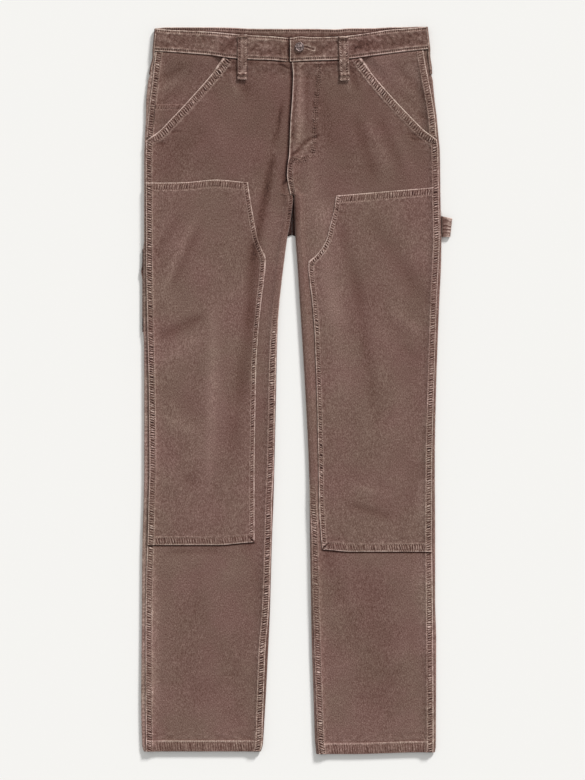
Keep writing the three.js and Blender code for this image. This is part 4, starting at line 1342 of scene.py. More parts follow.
@dataclass
class PocketFacing(LegPiece):
    """Cloth that shows above the slanted pocket edge and runs on under the front."""

    leg: Leg
    marks: tuple[Crease, ...]
    cut: tuple[float, float] = (0.13, 0.14)
    area: float | None = 0.0099
    seed: int = 303
    fading: float = -0.05
    part = "pocket_facing"
    lies_on = ("{leg}_back",)
    slot = Slot.FACING

    def places(self) -> tuple[Array, Array]:
        """Rows from the pocket's lower end to the waist; columns in from the side seam.

        Returns:
            Places across and along, as two grids.
        """
        leg = self.leg
        rows = np.concatenate([np.arange(921.5, TOP_START, ROW_STEP), np.linspace(TOP_START, WAIST_ROW, 14)])
        ridge = leg.ridge(rows + FELL_WIDTH * ramp(rows, TOP_START, WAIST_ROW))
        underlap = mix(1.5, FACING_UNDERLAP, ramp(rows, 930, 960))
        width = np.maximum(ridge - leg.slant(rows) + underlap, 1.0)
        steps = np.concatenate([FINE_EDGE[:-1], np.linspace(17, 120, 40)]) / 120
        widest = width[:, None] * np.linspace(0, 1, len(steps)) ** 0.6
        place = ridge[:, None] - np.minimum(steps[None, :] * 120, widest)
        y = np.repeat(rows[:, None], place.shape[1], axis=1)
        return place, leg.fit_rows(place, y, leg.seam(place) + WAIST_HIDDEN, TOP_START, WAIST_ROW)

    def surface(self, across: Array, along: Array, lift: float = 0.0) -> tuple[Array, Relief]:
        """Points on the top of the facing.

        Args:
            across: Places out from the centre line.
            along: Heights along the garment.
            lift: Distance out from the surface.

        Returns:
            The points and the relief on them.
        """
        leg = self.leg
        relief = Relief(leg.sign * across, along)
        outer = leg.ridge(along) - across
        relief.swell(self.seed, ramp(outer, 8, 25), 0.6)
        relief.crease(self.marks)
        relief.rows(along, outer, FELLED, self.seed + 5)
        relief.edge(outer)
        relief.wear_and_shading += self.fading
        # Painted shadow on the facing just below the waistband's edge.
        relief.line(leg.seam(across) - along - 0.7, 0.8, 0.0, -0.3)
        clear = ease(across - leg.slant(along), 2, 24)
        z = leg.drawn_up(across, along, leg.facing_top(across, along) + relief.height, 45, clear) + lift
        return leg.points(across, along, z), relief


@dataclass
class CoinPocket(ClothPiece):
    """Small pocket on the right facing, cut off by the slanted edge."""

    leg: Leg
    low: float = 938.0
    high: float = 972.0
    cut: tuple[float, float] = (0.055, 0.036)
    area: float | None = 0.00125
    node = "coin_pocket"
    rests_on = ("right_pocket_facing",)
    slot = Slot.FACING

    def places(self) -> tuple[Array, Array]:
        """Rows from the slanted edge to the pocket's hem; columns in from the side seam.

        Returns:
            Places across and along, as two grids.
        """
        rows = np.concatenate([np.arange(self.low, self.high - 1, 1.1), self.high - np.array([0.7, 0.25, 0])])
        share = np.linspace(0, 1, 34)
        outer = self.leg.ridge(rows) - FELL_WIDTH + 1.0
        inner = np.maximum(self.leg.slant(rows) - 5.0, 0)
        place = mix(outer[:, None], inner[:, None], share[None, :])
        return place, np.repeat(rows[:, None], len(share), axis=1)

    def surface(self, across: Array, along: Array, lift: float = 0.0) -> tuple[Array, Relief]:
        """Points on the top of the coin pocket.

        Args:
            across: Places out from the centre line.
            along: Heights along the garment.
            lift: Distance out from the surface.

        Returns:
            The points and the relief on them.
        """
        relief = Relief(self.leg.sign * across, along)
        top = self.high - along
        relief.rows(relief.x, top, Rows(1.6, 7.6, depth=0.05, strength=0.3), 401)
        relief.edge(top, 1.0, 0.06)
        relief.wear_and_shading -= 0.05
        relief.height -= (SEAM_GAP + 0.7) * ramp(along, self.low + 12, self.low) + 0.45
        relief.swell(402, 1.0, 0.4)
        z = self.leg.facing_top(across, along) + SEAM_GAP + 0.75 + relief.height + lift
        return self.leg.points(across, along, z), relief


BAND_SIDE = {1: (209.3, 205.5), -1: (208.2, 205.0)}
BUTTONHOLE = Path([(15.5, 1057.4), (20.5, 1058.2), (34.2, 1054.0)])


def band_turn(sign: int, level: Array) -> Array:
    """Distance out to the centre of the waistband's roll at one side."""
    low, high = BAND_SIDE[sign]
    return mix(low, high, level) - BAND_RADIUS - LOOP_ROOM


@dataclass
class Waistband(ClothPiece):
    """One folded band: over the front, round the back, and its right end tucked under."""

    marks: tuple[Crease, ...]
    left_end: float = -1.5
    right_end: float = 24.0
    dip_from: float = -14.0
    dip_to: float = -4.0
    cut: tuple[float, float] = (0.046, 0.87)
    area: float | None = 0.031
    wall: float = BAND_WALL - 0.1
    node = "waistband"
    rests_on = ("right_front", "left_front")
    faces_up = False

    def places(self) -> tuple[Array, Array]:
        """Steps along the band's outline, and levels from its seam to its top edge.

        Returns:
            Places across and along, as two grids.
        """
        front = np.concatenate([FOLD_EDGE[:6] / 200, np.linspace(0.022, 1, 128)])
        parts = [np.linspace(0, 1, count)[1:] for count in (13, 120, 13, 124, 8, 16)]
        steps = np.concatenate([front, *(i + part for i, part in enumerate(parts, 1))])
        low = np.array([0, 0.006, 0.02, 0.04, 0.064, 0.088, 0.112, 0.14])
        levels = np.concatenate([low, np.linspace(0.18, 0.82, 16), 1 - low[::-1]])
        return np.meshgrid(steps, levels)

    def outline(self, step: Array, level: Array, lift: Array) -> tuple[Array, Array]:
        """Outer surface of the band: x and z at each step round it.

        Args:
            step: Steps round the outline, 0 to 7.
            level: Share from seam to top.
            lift: Distance out from the surface.

        Returns:
            x and z of the points.
        """
        left, right = band_turn(1, level), -band_turn(-1, level)
        low = BAND_TOP - BAND_WALL - SEAM_GAP
        dip = mix(BAND_TOP, low, ease(step, 5, 6))
        wide = BAND_RADIUS + lift
        turn_left, turn_right = math.pi * (step - 1), math.pi * (4 - step)
        parts = [
            (step <= 1, mix(self.left_end, left, step), BAND_TOP + lift),
            (step <= 2, left + wide * np.sin(turn_left), BAND_RADIUS + wide * np.cos(turn_left)),
            (step <= 3, mix(left, right, step - 2), -lift),
            (step <= 4, right - wide * np.sin(turn_right), BAND_RADIUS + wide * np.cos(turn_right)),
            (step <= 5, mix(right, self.dip_from, step - 4), BAND_TOP + lift),
            (step <= 6, mix(self.dip_from, self.dip_to, step - 5), dip + lift),
            (step <= 7, mix(self.dip_to, self.right_end, step - 6), low + lift),
        ]
        tests = [part[0] for part in parts]
        shape = np.broadcast(step, level, lift).shape
        x = np.select(tests, [np.broadcast_to(part[1], shape) for part in parts])
        z = np.select(tests, [np.broadcast_to(part[2], shape) for part in parts])
        return x, z

    def relief(self, step: Array, level: Array) -> Relief:
        """Stitch rows, creases and the buttonhole.

        Args:
            step: Steps round the outline.
            level: Share from seam to top.

        Returns:
            What gathers on the band.
        """
        x, z = self.outline(step, level, np.zeros(np.shape(step)))
        is_back = (step > 1.5) & (step < 3.5)
        low = np.where(is_back, BACK_SEAM(x), WAIST_SEAM(x))
        high = np.where(is_back, BACK_TOP(x) + BACK_RISE * ramp(np.abs(x), 208, 190), WAIST_TOP(x))
        y = mix(low, high, level)
        relief = Relief(x, y)
        front = 1.0 - is_back
        relief.swell(503, front * ramp(level, 0.05, 0.3) * ramp(level, 0.97, 0.75), 0.8)
        relief.crease(self.marks)
        crumpled = np.clip(0.55 + 0.8 * wander(x, 0, 26, 509), 0.1, 1.2)
        relief.crumple(9.0, 0.2, front * crumpled * ramp(level, 0.1, 0.3) * ramp(level, 0.9, 0.7), 505, 0.5)
        relief.height *= front
        top, bottom = high - y, y - low
        relief.rumple += 0.38 * front
        relief.wear_and_shading -= 0.07 + 0.1 * is_back
        relief.rows(x, top, Rows(2.8, strength=1.3), 511)
        relief.rows(x, bottom, Rows(3.0, strength=1.3), 517, front)
        relief.lines(top, ((2.8, 0.9, -0.1, -0.2),))
        relief.lines(bottom, ((3.0, 1.0, -0.15, -0.34), (5.5, 1.4, 0.0, -0.06)), front)
        relief.edge(top, 1.0, 0.3)
        relief.edge(bottom, front, 0.36, 0.9)
        # Painted shade on the tucked end, beside the band's left end that laps over it.
        relief.line(np.where(step > 4, self.left_end - 1.0 - x, 99), 2.3, -0.2, -1.4)
        relief.edge(np.where(step <= 1, x - self.left_end, 99), 1.0, 0.9)
        relief.line(np.where(step <= 1, x - self.left_end - 3.2, 99), 0.9, -0.2, -0.3)
        # The buttonhole: its slit sunk and painted dark as shade, its raised rim paler.
        away = np.where(step <= 1, BUTTONHOLE.measure(x, y)[1], 99)
        relief.lines(away, ((0.0, 0.9, -0.9, -0.7), (2.3, 0.9, 0.25, 0.42)))
        relief.wear_and_shading += 0.08 * (1 - front)
        # Painted shadow on the back of the band, just above the front's top edge.
        relief.line(np.where(is_back, y - WAIST_TOP(x), 99), 2.2, 0.0, -0.45)
        return relief

    def surface(self, across: Array, along: Array, lift: float = 0.0) -> tuple[Array, Relief]:
        """Points on the outside of the band.

        Args:
            across: Steps round the outline.
            along: Share from seam to top.
            lift: Distance out from the surface.

        Returns:
            The points and the relief on them.
        """
        relief = self.relief(across, along)
        x, z = self.outline(across, along, relief.height + lift)
        return np.stack([x, relief.y, z], axis=-1), relief


@dataclass
class BeltLoop(LegPiece):
    """Front belt loop: lies on the band, then drops to the front panel below the waist seam."""

    leg: Leg
    panel: FrontPanel
    top_u: float
    bottom_u: float
    bottom_y: float
    tack: float = 9.0
    cut: tuple[float, float] = (0.0155, 0.072)
    area: float | None = None
    wall: float = LOOP_WALL - 0.2
    part = "belt_loop"
    lies_on = ("waistband", "{leg}_front")

    @property
    def top_y(self) -> float:
        """Upper end of the loop."""
        return float(WAIST_TOP(self.leg.sign * self.top_u)) - 0.2

    def places(self) -> tuple[Array, Array]:
        """Columns across the loop and rows down it.

        Returns:
            Places across and along, as two grids.
        """
        half = np.array([1.4, 2.8, 4.2, 5.4, 6.4, 7, 7.35, 7.5])
        ends = np.array([0, 0.2, 0.6])
        rows = np.linspace(self.bottom_y, self.top_y, 62)
        rows = np.concatenate([rows[0] + ends, rows[1:-1], rows[-1] - ends[::-1]])
        return np.meshgrid(np.concatenate([-half[::-1], [0], half]), rows)

    def surface(self, across: Array, along: Array, lift: float = 0.0) -> tuple[Array, Relief]:
        """Points on the top of the loop.

        Args:
            across: Places from the loop's middle.
            along: Heights along the garment.
            lift: Distance out from the surface.

        Returns:
            The points and the relief on them.
        """
        leg = self.leg
        seam = float(leg.seam(self.top_u))
        u = mix(self.top_u, self.bottom_u, ramp(along, self.top_y, self.bottom_y)) + across
        relief = Relief(leg.sign * u, along, 0.8)
        relief.wear_and_shading -= 0.07
        drop = ease(along, seam + 1, self.bottom_y + self.tack)
        base = mix(BAND_TOP + SEAM_GAP, leg.front_top(u, along) + SEAM_GAP, drop)
        low, high = along - self.bottom_y, self.top_y - along
        folded = np.maximum(ease(high, 7.5, 4.5), ease(low, self.tack + 2.5, self.tack - 0.5))
        side = LOOP_WIDTH / 2 - np.abs(across)
        relief.edge(side, 1.0, 0.22)
        relief.edge(low, 1.0, 0.2)
        relief.edge(high, 1.0, 0.3)
        relief.rows(along, side, Rows(1.7, 4.6, depth=0.1, pitch=3.8, strength=0.7), 611 + leg.sign)
        # Ridges painted paler and folds painted darker, as light and shade; painted shade along one long edge
        # and where the loop's lower end meets the panel.
        relief.lines(across, ((-4.6, 1.5, 0.15, 0.22), (1.0, 1.8, 0.2, 0.16)))
        relief.line(across + LOOP_WIDTH / 2, 0.7, -0.2, -0.7)
        relief.lines(low, ((6.5, 1.6, -0.5, -0.6), (3.0, 1.3, 0.1, 0.14), (0.0, 0.4, 0.0, -0.8)))
        relief.lines(high, ((4.0, 1.2, -0.3, -0.45),))
        relief.crumple(7.0, 0.2, 1.0, 607 + leg.sign, 0.3)
        relief.swell(601 + leg.sign, 0.5)
        z = base + LOOP_WALL * (1 + 0.7 * folded) + relief.height + lift
        return leg.points(u, along, z), relief


@dataclass
class SideLoop(LegPiece):
    """Belt loop that bends round the side, from below the waist seam to the top of the band."""

    leg: Leg
    top_y: float
    cut: tuple[float, float] = (0.0105, 0.07)
    area: float | None = 0.0006
    low_angle: float = -0.55
    panel_angle: float = 1.54
    band_angle: float = 1.17
    wall: float = SIDE_LOOP_WALL - 0.2
    part = "side_loop"
    lies_on = ("waistband", "{leg}_back")

    def places(self) -> tuple[Array, Array]:
        """Shares round the side and rows up it."""
        share = np.concatenate([[0, 0.02, 0.06], np.linspace(0.12, 0.88, 10), [0.94, 0.98, 1]])
        return np.meshgrid(share, np.linspace(SIDE_LOOP_BOTTOM, self.top_y, 44))

    def surface(self, across: Array, along: Array, lift: float = 0.0) -> tuple[Array, Relief]:
        """Points on the outside of the loop.

        Args:
            across: Shares round the side.
            along: Heights along the garment.
            lift: Distance out from the surface.

        Returns:
            The points and the relief on them.
        """
        leg = self.leg
        seam = float(leg.seam(leg.side(WAIST_ROW)))
        on_band = ramp(along, SIDE_LOOP_BOTTOM + 13, seam - 1)
        radius = mix(FOLD_RADIUS, BAND_RADIUS, on_band)
        on_panel = leg.side(along) - LOOP_ROOM - radius
        centre = mix(on_panel, band_turn(leg.sign, ramp(along, seam, self.top_y)), on_band)
        angle = mix(self.low_angle, mix(self.panel_angle, self.band_angle, on_band), across)
        relief = Relief(leg.sign * centre + 20 * angle, along, 0.5)
        side = np.minimum(across, 1 - across) * (self.panel_angle - self.low_angle) * (radius + LOOP_ROOM)
        relief.edge(side, 1.0, 0.3, 0.5)
        relief.edge(along - SIDE_LOOP_BOTTOM, 1.0, 0.2, 0.5)
        # Folds near both ends, sunk and painted dark as shade.
        relief.line(along - SIDE_LOOP_BOTTOM - 5, 1.5, -0.2, -0.35)
        relief.line(self.top_y - along - 4, 1.2, -0.15, -0.2)
        sunk = 0.9 * ramp(across, 0.84, 1.0) * on_band
        reach = radius + SEAM_GAP + SIDE_LOOP_WALL + relief.height + lift - sunk
        u, z = centre + reach * np.cos(angle), radius + reach * np.sin(angle)
        return leg.points(u, along, z), relief


@dataclass
class HammerLoop(ClothPiece):
    """Strap that leaves the left side seam, folds back and returns underneath."""

    leg: Leg
    bottom: float = 772.5
    top: float = 804.0
    slope: float = 0.22
    radii: tuple[float, float] = (1.8, 2.4)
    reaches: tuple[float, float] = (239.0, 242.0)
    bends: tuple[tuple[float, float], ...] = ((6.0, 0.7), (12.0, 1.0), (17.0, 0.8), (26.0, 0.5))
    cut: tuple[float, float] = (0.031, 0.032)
    area: float | None = None
    wall: float = CLOTH - 0.1
    node = "hammer_loop"
    rests_on = ("left_back",)

    def places(self) -> tuple[Array, Array]:
        """Shares along the strap, there and back, and shares across it.

        Returns:
            Places across and along, as two grids.
        """
        steps = np.concatenate([np.linspace(0, 1, 14), np.linspace(1, 2, 11)[1:], np.linspace(2, 3, 9)[1:]])
        share = np.concatenate([[0, 0.006, 0.02, 0.04], np.linspace(0.07, 0.93, 20), [0.96, 0.98, 0.994, 1]])
        return np.meshgrid(steps, share)

    def surface(self, across: Array, along: Array, lift: float = 0.0) -> tuple[Array, Relief]:
        """Points on the outside of the strap.

        Args:
            across: Steps there and back.
            along: Shares across the strap.
            lift: Distance out from the surface.

        Returns:
            The points and the relief on them.
        """
        leg = self.leg
        radius = mix(*self.radii, along)
        reach = mix(*self.reaches, along) - radius
        root_y = mix(self.bottom, self.top, along)
        root = leg.side(root_y) + SEAM_GAP
        relief = Relief(leg.sign * (root + 14 * across), root_y, 0.5)
        edge = np.minimum(along, 1 - along) * (self.top - self.bottom)
        relief.edge(edge, 1.0, 0.35)
        relief.wear_and_shading -= 0.03
        # Bends sunk and painted dark as shade, with painted light on the ridge beside each; then painted
        # shade in the gap at the root by the side seam, and a paler line near the fold.
        for place, depth in self.bends:
            bent = root_y - self.bottom - place - 1.2 * wander(across, place, 0.5, 705)
            relief.lines(bent, ((0.0, 1.0, -0.25, -0.46 * depth), (2.4, 1.0, 0.1, 0.2)))
        relief.lines(across, ((0.9, 0.3, 0.1, 0.3), (0.1, 0.1, -0.2, -0.5)))
        relief.swell(701, 0.7)
        size = radius + relief.height + lift
        angle = math.pi * np.clip(across - 1, 0, 1)
        flat = np.where(across < 1, across, np.where(across > 2, 3 - across, 1.0))
        u = mix(root, reach, flat) + size * np.sin(angle)
        z = radius + size * np.cos(angle)
        y = root_y - self.slope * along * (u - root)
        return leg.points(u, y, z), relief


@dataclass
class ToolPocket(ClothPiece):
    """Pocket under the right back, whose edge comes up round the side."""

    leg: Leg
    cut: tuple[float, float] = (0.119, 0.1245)
    area: float | None = None
    wall: float = CLOTH - 0.1
    pucker_pitch: float = 4.8
    frayed_at: float = 721.0
    frayed_reach: float = 8.0
    node = "tool_pocket"
    faces_up = False

    def places(self) -> tuple[Array, Array]:
        """Shares across the flat and round the side; rows up the pocket.

        Returns:
            Places across and along, as two grids.
        """
        steps = np.concatenate([np.linspace(0, 1, 30), 1 + np.linspace(0, 1, 14)[1:]])
        ends = np.array([0, 0.3, 0.9, 1.8])
        low, high = TOOL_POCKET["bottom"], TOOL_POCKET["top"]
        rows = np.concatenate([low + ends, np.arange(low + 3, high - 3, ROW_STEP), high - ends[::-1]])
        return np.meshgrid(steps, rows)

    def surface(self, across: Array, along: Array, lift: float = 0.0) -> tuple[Array, Relief]:
        """Points on the outside of the pocket.

        Args:
            across: Steps over the flat and round the side.
            along: Heights along the garment.
            lift: Distance out from the surface.

        Returns:
            The points and the relief on them.
        """
        leg = self.leg
        radius, side_u, side_z = side_roll(leg, along)
        relief = Relief(-200 - 20 * across, along)
        low, high = along - TOOL_POCKET["bottom"], TOOL_POCKET["top"] - along
        round_side = ramp(across, 1.0, 1.3)
        relief.rows(relief.x, np.minimum(low, high), Rows(2.0, 8.0), 801, round_side)
        relief.edge(np.minimum(low, high), 1.0, 0.3, 0.5)
        # Puckers round the side, paler on their crests and darker in their troughs, as painted light and
        # shade.
        wave = np.sin(2 * math.pi * along / self.pucker_pitch + 2 * wander(along, 0, 20, 803))
        relief.height += 0.12 * wave * round_side
        relief.wear_and_shading += 0.2 * wave * round_side
        frayed = np.exp(-(((along - self.frayed_at) / self.frayed_reach) ** 2)) * ramp(across, 1.4, 1.9)
        relief.height += 1.5 * frayed * (1 + 0.5 * wander(along, across, 3, 805))
        dark = np.maximum(ramp(along, 716, 724), ramp(along, 656, 648)) * ramp(across, 1.55, 1.75)
        relief.wear_and_shading -= 0.45 * dark * (1 + 0.6 * wander(along, across, 4, 807))
        angle = TOOL_POCKET["edge_angle"] * np.clip(across - 1, 0, 1)
        reach = radius + TOOL_POCKET["lift"] + relief.height * round_side + lift
        u = np.where(across < 1, mix(TOOL_POCKET["inner"], side_u, across), side_u + reach * np.sin(angle))
        z = np.where(across < 1, 0.0, side_z - reach * np.cos(angle))
        return leg.points(u, along, z), relief


def linear(hex_colour: str) -> tuple[float, float, float, float]:
    """Linear colour of an sRGB hex value."""
    values = [int(hex_colour[i:i + 2], 16) / 255 for i in (1, 3, 5)]
    return tuple(v / 12.92 if v <= 0.04045 else ((v + 0.055) / 1.055) ** 2.4 for v in values) + (1.0,)


def add_node(
    tree: bpy.types.NodeTree, kind: str, links: dict | None = None, stops: tuple = (), **settings: object
) -> bpy.types.Node:
    """Add one shader node.

    Args:
        tree: The material's node tree.
        kind: Blender's name of the node, without its first words.
        links: Input name or number to a socket, to a node (its factor or first output) or to a value.
        stops: Rising positions of a colour ramp, each with its linear colour.
        settings: The node's own properties.

    Returns:
        The node.
    """
    made = tree.nodes.new(f"ShaderNode{kind}")
    for name, value in settings.items():
        setattr(made, name, value)
    for name, value in (links or {}).items():
        if isinstance(value, bpy.types.Node):
            value = value.outputs.get("Fac") or value.outputs[0]
        if isinstance(value, bpy.types.NodeSocket):
            tree.links.new(value, made.inputs[name])
        else:
            made.inputs[name].default_value = value
    for i, (position, colour) in enumerate(stops):
        elements = made.color_ramp.elements
        if 0 < i < len(stops) - 1:
            elements.new(position).color = colour
        else:
            elements[-1 if i else 0].position = position
            elements[-1 if i else 0].color = colour
    return made


# Length of one wave of the wave texture at scale 1.
WAVE_LENGTH = 0.314


class Finish:
    """A finish that gives a material, made once."""

    name = "finish"

    def material(self) -> bpy.types.Material:
        """The material of this finish.

        Returns:
            The material.
        """
        if self.name not in bpy.data.materials:
            made = bpy.data.materials.new(self.name)
            made.use_nodes = True
            made.node_tree.nodes.clear()
            self.shade(made.node_tree)
        return bpy.data.materials[self.name]

    def shade(self, tree: bpy.types.NodeTree) -> None:
        """Fill the material's node tree."""
        raise NotImplementedError

    @staticmethod
    def end(tree: bpy.types.NodeTree, height: object, strength: float, depth: float, looks: dict) -> None:
        """End the tree in a surface with fine relief.

        Args:
            tree: The material's node tree.
            height: Node or socket that gives the relief.
            strength: Share of the relief that shows.
            depth: Its depth in millimetres.
            looks: Inputs of the surface.
        """
        bump = add_node(tree, "Bump", {"Strength": strength, "Distance": depth * MM, "Height": height})
        shader = add_node(tree, "BsdfPrincipled", {**looks, "Normal": bump})
        add_node(tree, "OutputMaterial", {"Surface": shader})


@dataclass(frozen=True)
class WashedCanvas(Finish):
    """Garment-washed cotton duck: matt, dark in the seams and pale on every fold and ridge, partly from the
    wash and partly as painted shade and light.

    The real weave has a thread each half millimetre. Weave and slub are drawn coarser, so that they show.
    """

    name: str = "washed_canvas"
    # From dark to pale, the ramp's colours stand for painted shade and dark seams at the dark end, and for
    # fading and painted light at the pale end.
    deep: str = "#2c150f"
    shade_colour: str = "#5a3d34"
    plain: str = "#735951"
    faded_and_lit: str = "#967d73"
    worn_and_lit: str = "#cdb6ac"
    mauve: str = "#fff8f9"
    olive: str = "#f8faf4"
    weave_mm: float = 1.3
    speckle_mm: float = 1.1
    crumple_mm: float = 5.5
    mottle_mm: float = 38.0
    dye_mm: float = 79.8
    ladder_mm: float = 3.8
    stitch_mm: float = 3.3

    def sewn_band(self, tree: bpy.types.NodeTree) -> tuple[bpy.types.Node, bpy.types.Node]:
        """Puckers between two rows, dark in the troughs and pale on the crests, dots along them and a pale
        shoulder outside; the dark and pale are partly wash and partly painted shade and light.

        Args:
            tree: The material's node tree.

        Returns:
            What the band adds to the wear, and its height.
        """
        add = partial(add_node, tree)
        along, across, strength = (
            add("Attribute", attribute_name=name) for name in ("seam_along", "seam_across", "seam_strength")
        )
        uneven = add("TexNoise", {"W": along, "Scale": 0.13, "Detail": 2.0}, noise_dimensions="1D")
        depth = add("MapRange", {
            "Value": uneven, "From Min": 0.35, "From Max": 0.65, "To Min": 0.4, "To Max": 1.1,
        })
        slanted = add("Math", {0: across, 1: 1.6, 2: along}, operation="MULTIPLY_ADD")
        ladder = add("TexWave", {
            "Vector": add("CombineXYZ", {"X": slanted, "Y": across}), "Scale": WAVE_LENGTH / self.ladder_mm,
            "Distortion": 6.0, "Detail": 3.0, "Detail Scale": 2.4,
        }, bands_direction="X")
        dots = add("TexWave", {
            "Vector": add("CombineXYZ", {"X": along, "Y": across}), "Scale": WAVE_LENGTH / self.stitch_mm,
            "Distortion": 0.8, "Detail": 1.0,
        }, bands_direction="X")
        place = add("Math", {0: across, 1: 0.4, 2: 0.3}, operation="MULTIPLY_ADD")
        masks = add("ValToRGB", {"Fac": place}, [(0.3 + 0.4 * share, (*colour, 1.0)) for share, *colour in (
            (-0.3, 0, 0, 0), (-0.12, 0, 0.3, 0), (0, 0.2, 1, 0), (0.12, 0.7, 0.2, 0), (0.3, 1, 0, 0),
            (0.75, 1, 0, 0), (0.88, 0.7, 0.2, 0), (1, 0.2, 1, 0), (1.1, 0, 0.3, 0.8), (1.22, 0, 0, 1),
            (1.45, 0, 0, 0),
        )])
        puckers = add("Math", {0: ladder, 1: -0.56}, operation="ADD")
        shades = {
            "X": add("Math", {0: puckers, 1: depth}, operation="MULTIPLY"),
            "Y": add("Math", {0: dots, 1: 0.8, 2: -0.5}, operation="MULTIPLY_ADD"), "Z": 0.22,
        }
        heights = {"X": ladder, "Y": add("Math", {0: dots, 1: -0.8}, operation="ADD"), "Z": 0.9}
        results = []
        for values in (shades, heights):
            total = add("VectorMath", {0: add("CombineXYZ", values), 1: masks}, operation="DOT_PRODUCT")
            results.append(add("Math", {0: total.outputs["Value"], 1: strength}, operation="MULTIPLY"))
        return results[0], results[1]

    def shade(self, tree: bpy.types.NodeTree) -> None:
        """Colour from the attribute of fading and painted light and shade, broken up by slub, speckle and
        uneven dye.

        Args:
            tree: The material's node tree.
        """
        add = partial(add_node, tree)
        place = add("TexCoord").outputs["Object"]
        wear_and_shading, rumple = (add("Attribute", attribute_name=name) for name in ("wear_and_shading", "rumple"))
        drawn_out = add("VectorMath", {0: place, 1: (1.0, 0.5, 1.0)}, operation="MULTIPLY")
        speckle, mottle, crumple, dye = (
            add("TexNoise", {"Vector": vector, "Scale": 1 / (size * MM), "Detail": detail})
            for vector, size, detail in (
                (drawn_out, self.speckle_mm, 3.0), (place, self.mottle_mm, 3.0),
                (place, self.crumple_mm, 2.0), (place, self.dye_mm, 4.0),
            )
        )
        band, band_height = self.sewn_band(tree)
        centred = add("Math", {0: crumple, 1: -0.5}, operation="ADD")
        rumpled = add("Math", {0: centred, 1: rumple}, operation="MULTIPLY")
        value = add("Math", {0: wear_and_shading, 1: band}, operation="ADD")
        for pattern, amount in ((speckle, 0.95), (mottle, 0.08)):
            part = add("Math", {0: pattern, 1: amount, 2: -amount / 2}, operation="MULTIPLY_ADD")
            value = add("Math", {0: value, 1: part}, operation="ADD")
        # The rumples' noise also moves the colour, paler on their tops and darker in their hollows, as
        # painted light and shade.
        value = add("Math", {0: rumpled, 1: 0.9, 2: value}, operation="MULTIPLY_ADD")
        # Dark end for painted shade and dark seams, pale end for fading and painted light.
        cloth = add("ValToRGB", {"Fac": value}, [
            (0.0, linear(self.deep)), (0.27, linear(self.shade_colour)), (0.5, linear(self.plain)),
            (0.74, linear(self.faded_and_lit)), (1.0, linear(self.worn_and_lit)),
        ])
        patch = add("MapRange", {"Value": dye, "From Min": 0.38, "From Max": 0.62})
        tint = add("Mix", {0: patch, 6: linear(self.mauve), 7: linear(self.olive)}, data_type="RGBA")
        colour = add("Mix", {0: 1.0, 6: cloth, 7: tint.outputs[2]}, data_type="RGBA", blend_type="MULTIPLY")
        weft, warp = (
            add("TexWave", {
                "Vector": place, "Scale": WAVE_LENGTH / (self.weave_mm * MM), "Distortion": 1.2,
                "Detail": 1.0,
            }, bands_direction=direction) for direction in "XY"
        )
        nap = add("Math", {0: weft, 1: warp}, operation="MULTIPLY")
        for pattern, amount in ((speckle, 1.4), (rumpled, 9.0), (band_height, 2.4)):
            nap = add("Math", {0: pattern, 1: amount, 2: nap}, operation="MULTIPLY_ADD")
        self.end(tree, nap, 0.6, 0.3, {
            "Base Color": colour.outputs[2], "Roughness": 0.92, "Specular IOR Level": 0.25,
            "Sheen Weight": 0.12, "Sheen Roughness": 0.5,
        })


@dataclass(frozen=True)
class Thread(Finish):
    """Twisted polyester-cotton thread, dyed with the garment and a little darker than it."""

    name: str = "sewing_thread"
    dark: str = "#6a5147"
    light: str = "#a68a7b"
    change_mm: float = 6.0
    twist_mm: float = 0.5

    def shade(self, tree: bpy.types.NodeTree) -> None:
        """Colour that changes from stitch to stitch.

        Args:
            tree: The material's node tree.
        """
        add = partial(add_node, tree)
        place = add("TexCoord").outputs["Object"]
        change = add("TexNoise", {"Vector": place, "Scale": 1 / (self.change_mm * MM), "Detail": 2.0})
        colour = add("ValToRGB", {"Fac": change}, [(0.35, linear(self.dark)), (0.68, linear(self.light))])
        twist = add("TexWave", {
            "Vector": place, "Scale": WAVE_LENGTH / (self.twist_mm * MM),
        }, bands_direction="DIAGONAL")
        self.end(tree, twist, 0.3, 0.1, {"Base Color": colour, "Roughness": 0.7, "Specular IOR Level": 0.35})


@dataclass(frozen=True)
class AntiquedSteel(Finish):
    """Stamped steel with a dark antique plating, rubbed bright in soft patches."""

    name: str = "antiqued_steel"
    dark: str = "#4d3f3c"
    bright: str = "#c6b0ac"
    patch_mm: float = 2.2

    def shade(self, tree: bpy.types.NodeTree) -> None:
        """Dark metal with rubbed patches.

        Args:
            tree: The material's node tree.
        """
        add = partial(add_node, tree)
        place = add("TexCoord").outputs["Object"]
        patch = add("TexNoise", {"Vector": place, "Scale": 1 / (self.patch_mm * MM), "Detail": 4.0})
        colour = add("ValToRGB", {"Fac": patch}, [(0.4, linear(self.dark)), (0.7, linear(self.bright))])
        self.end(tree, patch, 0.3, 0.1, {"Base Color": colour, "Metallic": 0.9, "Roughness": 0.42})


@dataclass(frozen=True)
class PaperFloor(Finish):
    """Matt white studio paper."""

    name: str = "studio_paper"
    white: str = "#efeeeb"
    grain_mm: float = 500.0

    def shade(self, tree: bpy.types.NodeTree) -> None:
        """Plain matt white with the least unevenness.

        Args:
            tree: The material's node tree.
        """
        place = add_node(tree, "TexCoord").outputs["Object"]
        grain = add_node(tree, "TexNoise", {"Vector": place, "Scale": 1 / (self.grain_mm * MM)})
        self.end(tree, grain, 0.05, 0.1, {
            "Base Color": linear(self.white), "Roughness": 0.9, "Specular IOR Level": 0.1,
        })


def beside_edge(edge: Callable[[Array], Array], heights: Array, offset: float) -> Path:
    """Line at a distance out from an edge that is known by its height."""
    return Path(np.column_stack([edge(heights) + offset, heights]))


def above_edge(edge: Callable[[Array], Array], places: Array, offset: float) -> Path:
    """Line at a height above an edge that runs across the leg."""
    return Path(np.column_stack([places, edge(places) + offset]))


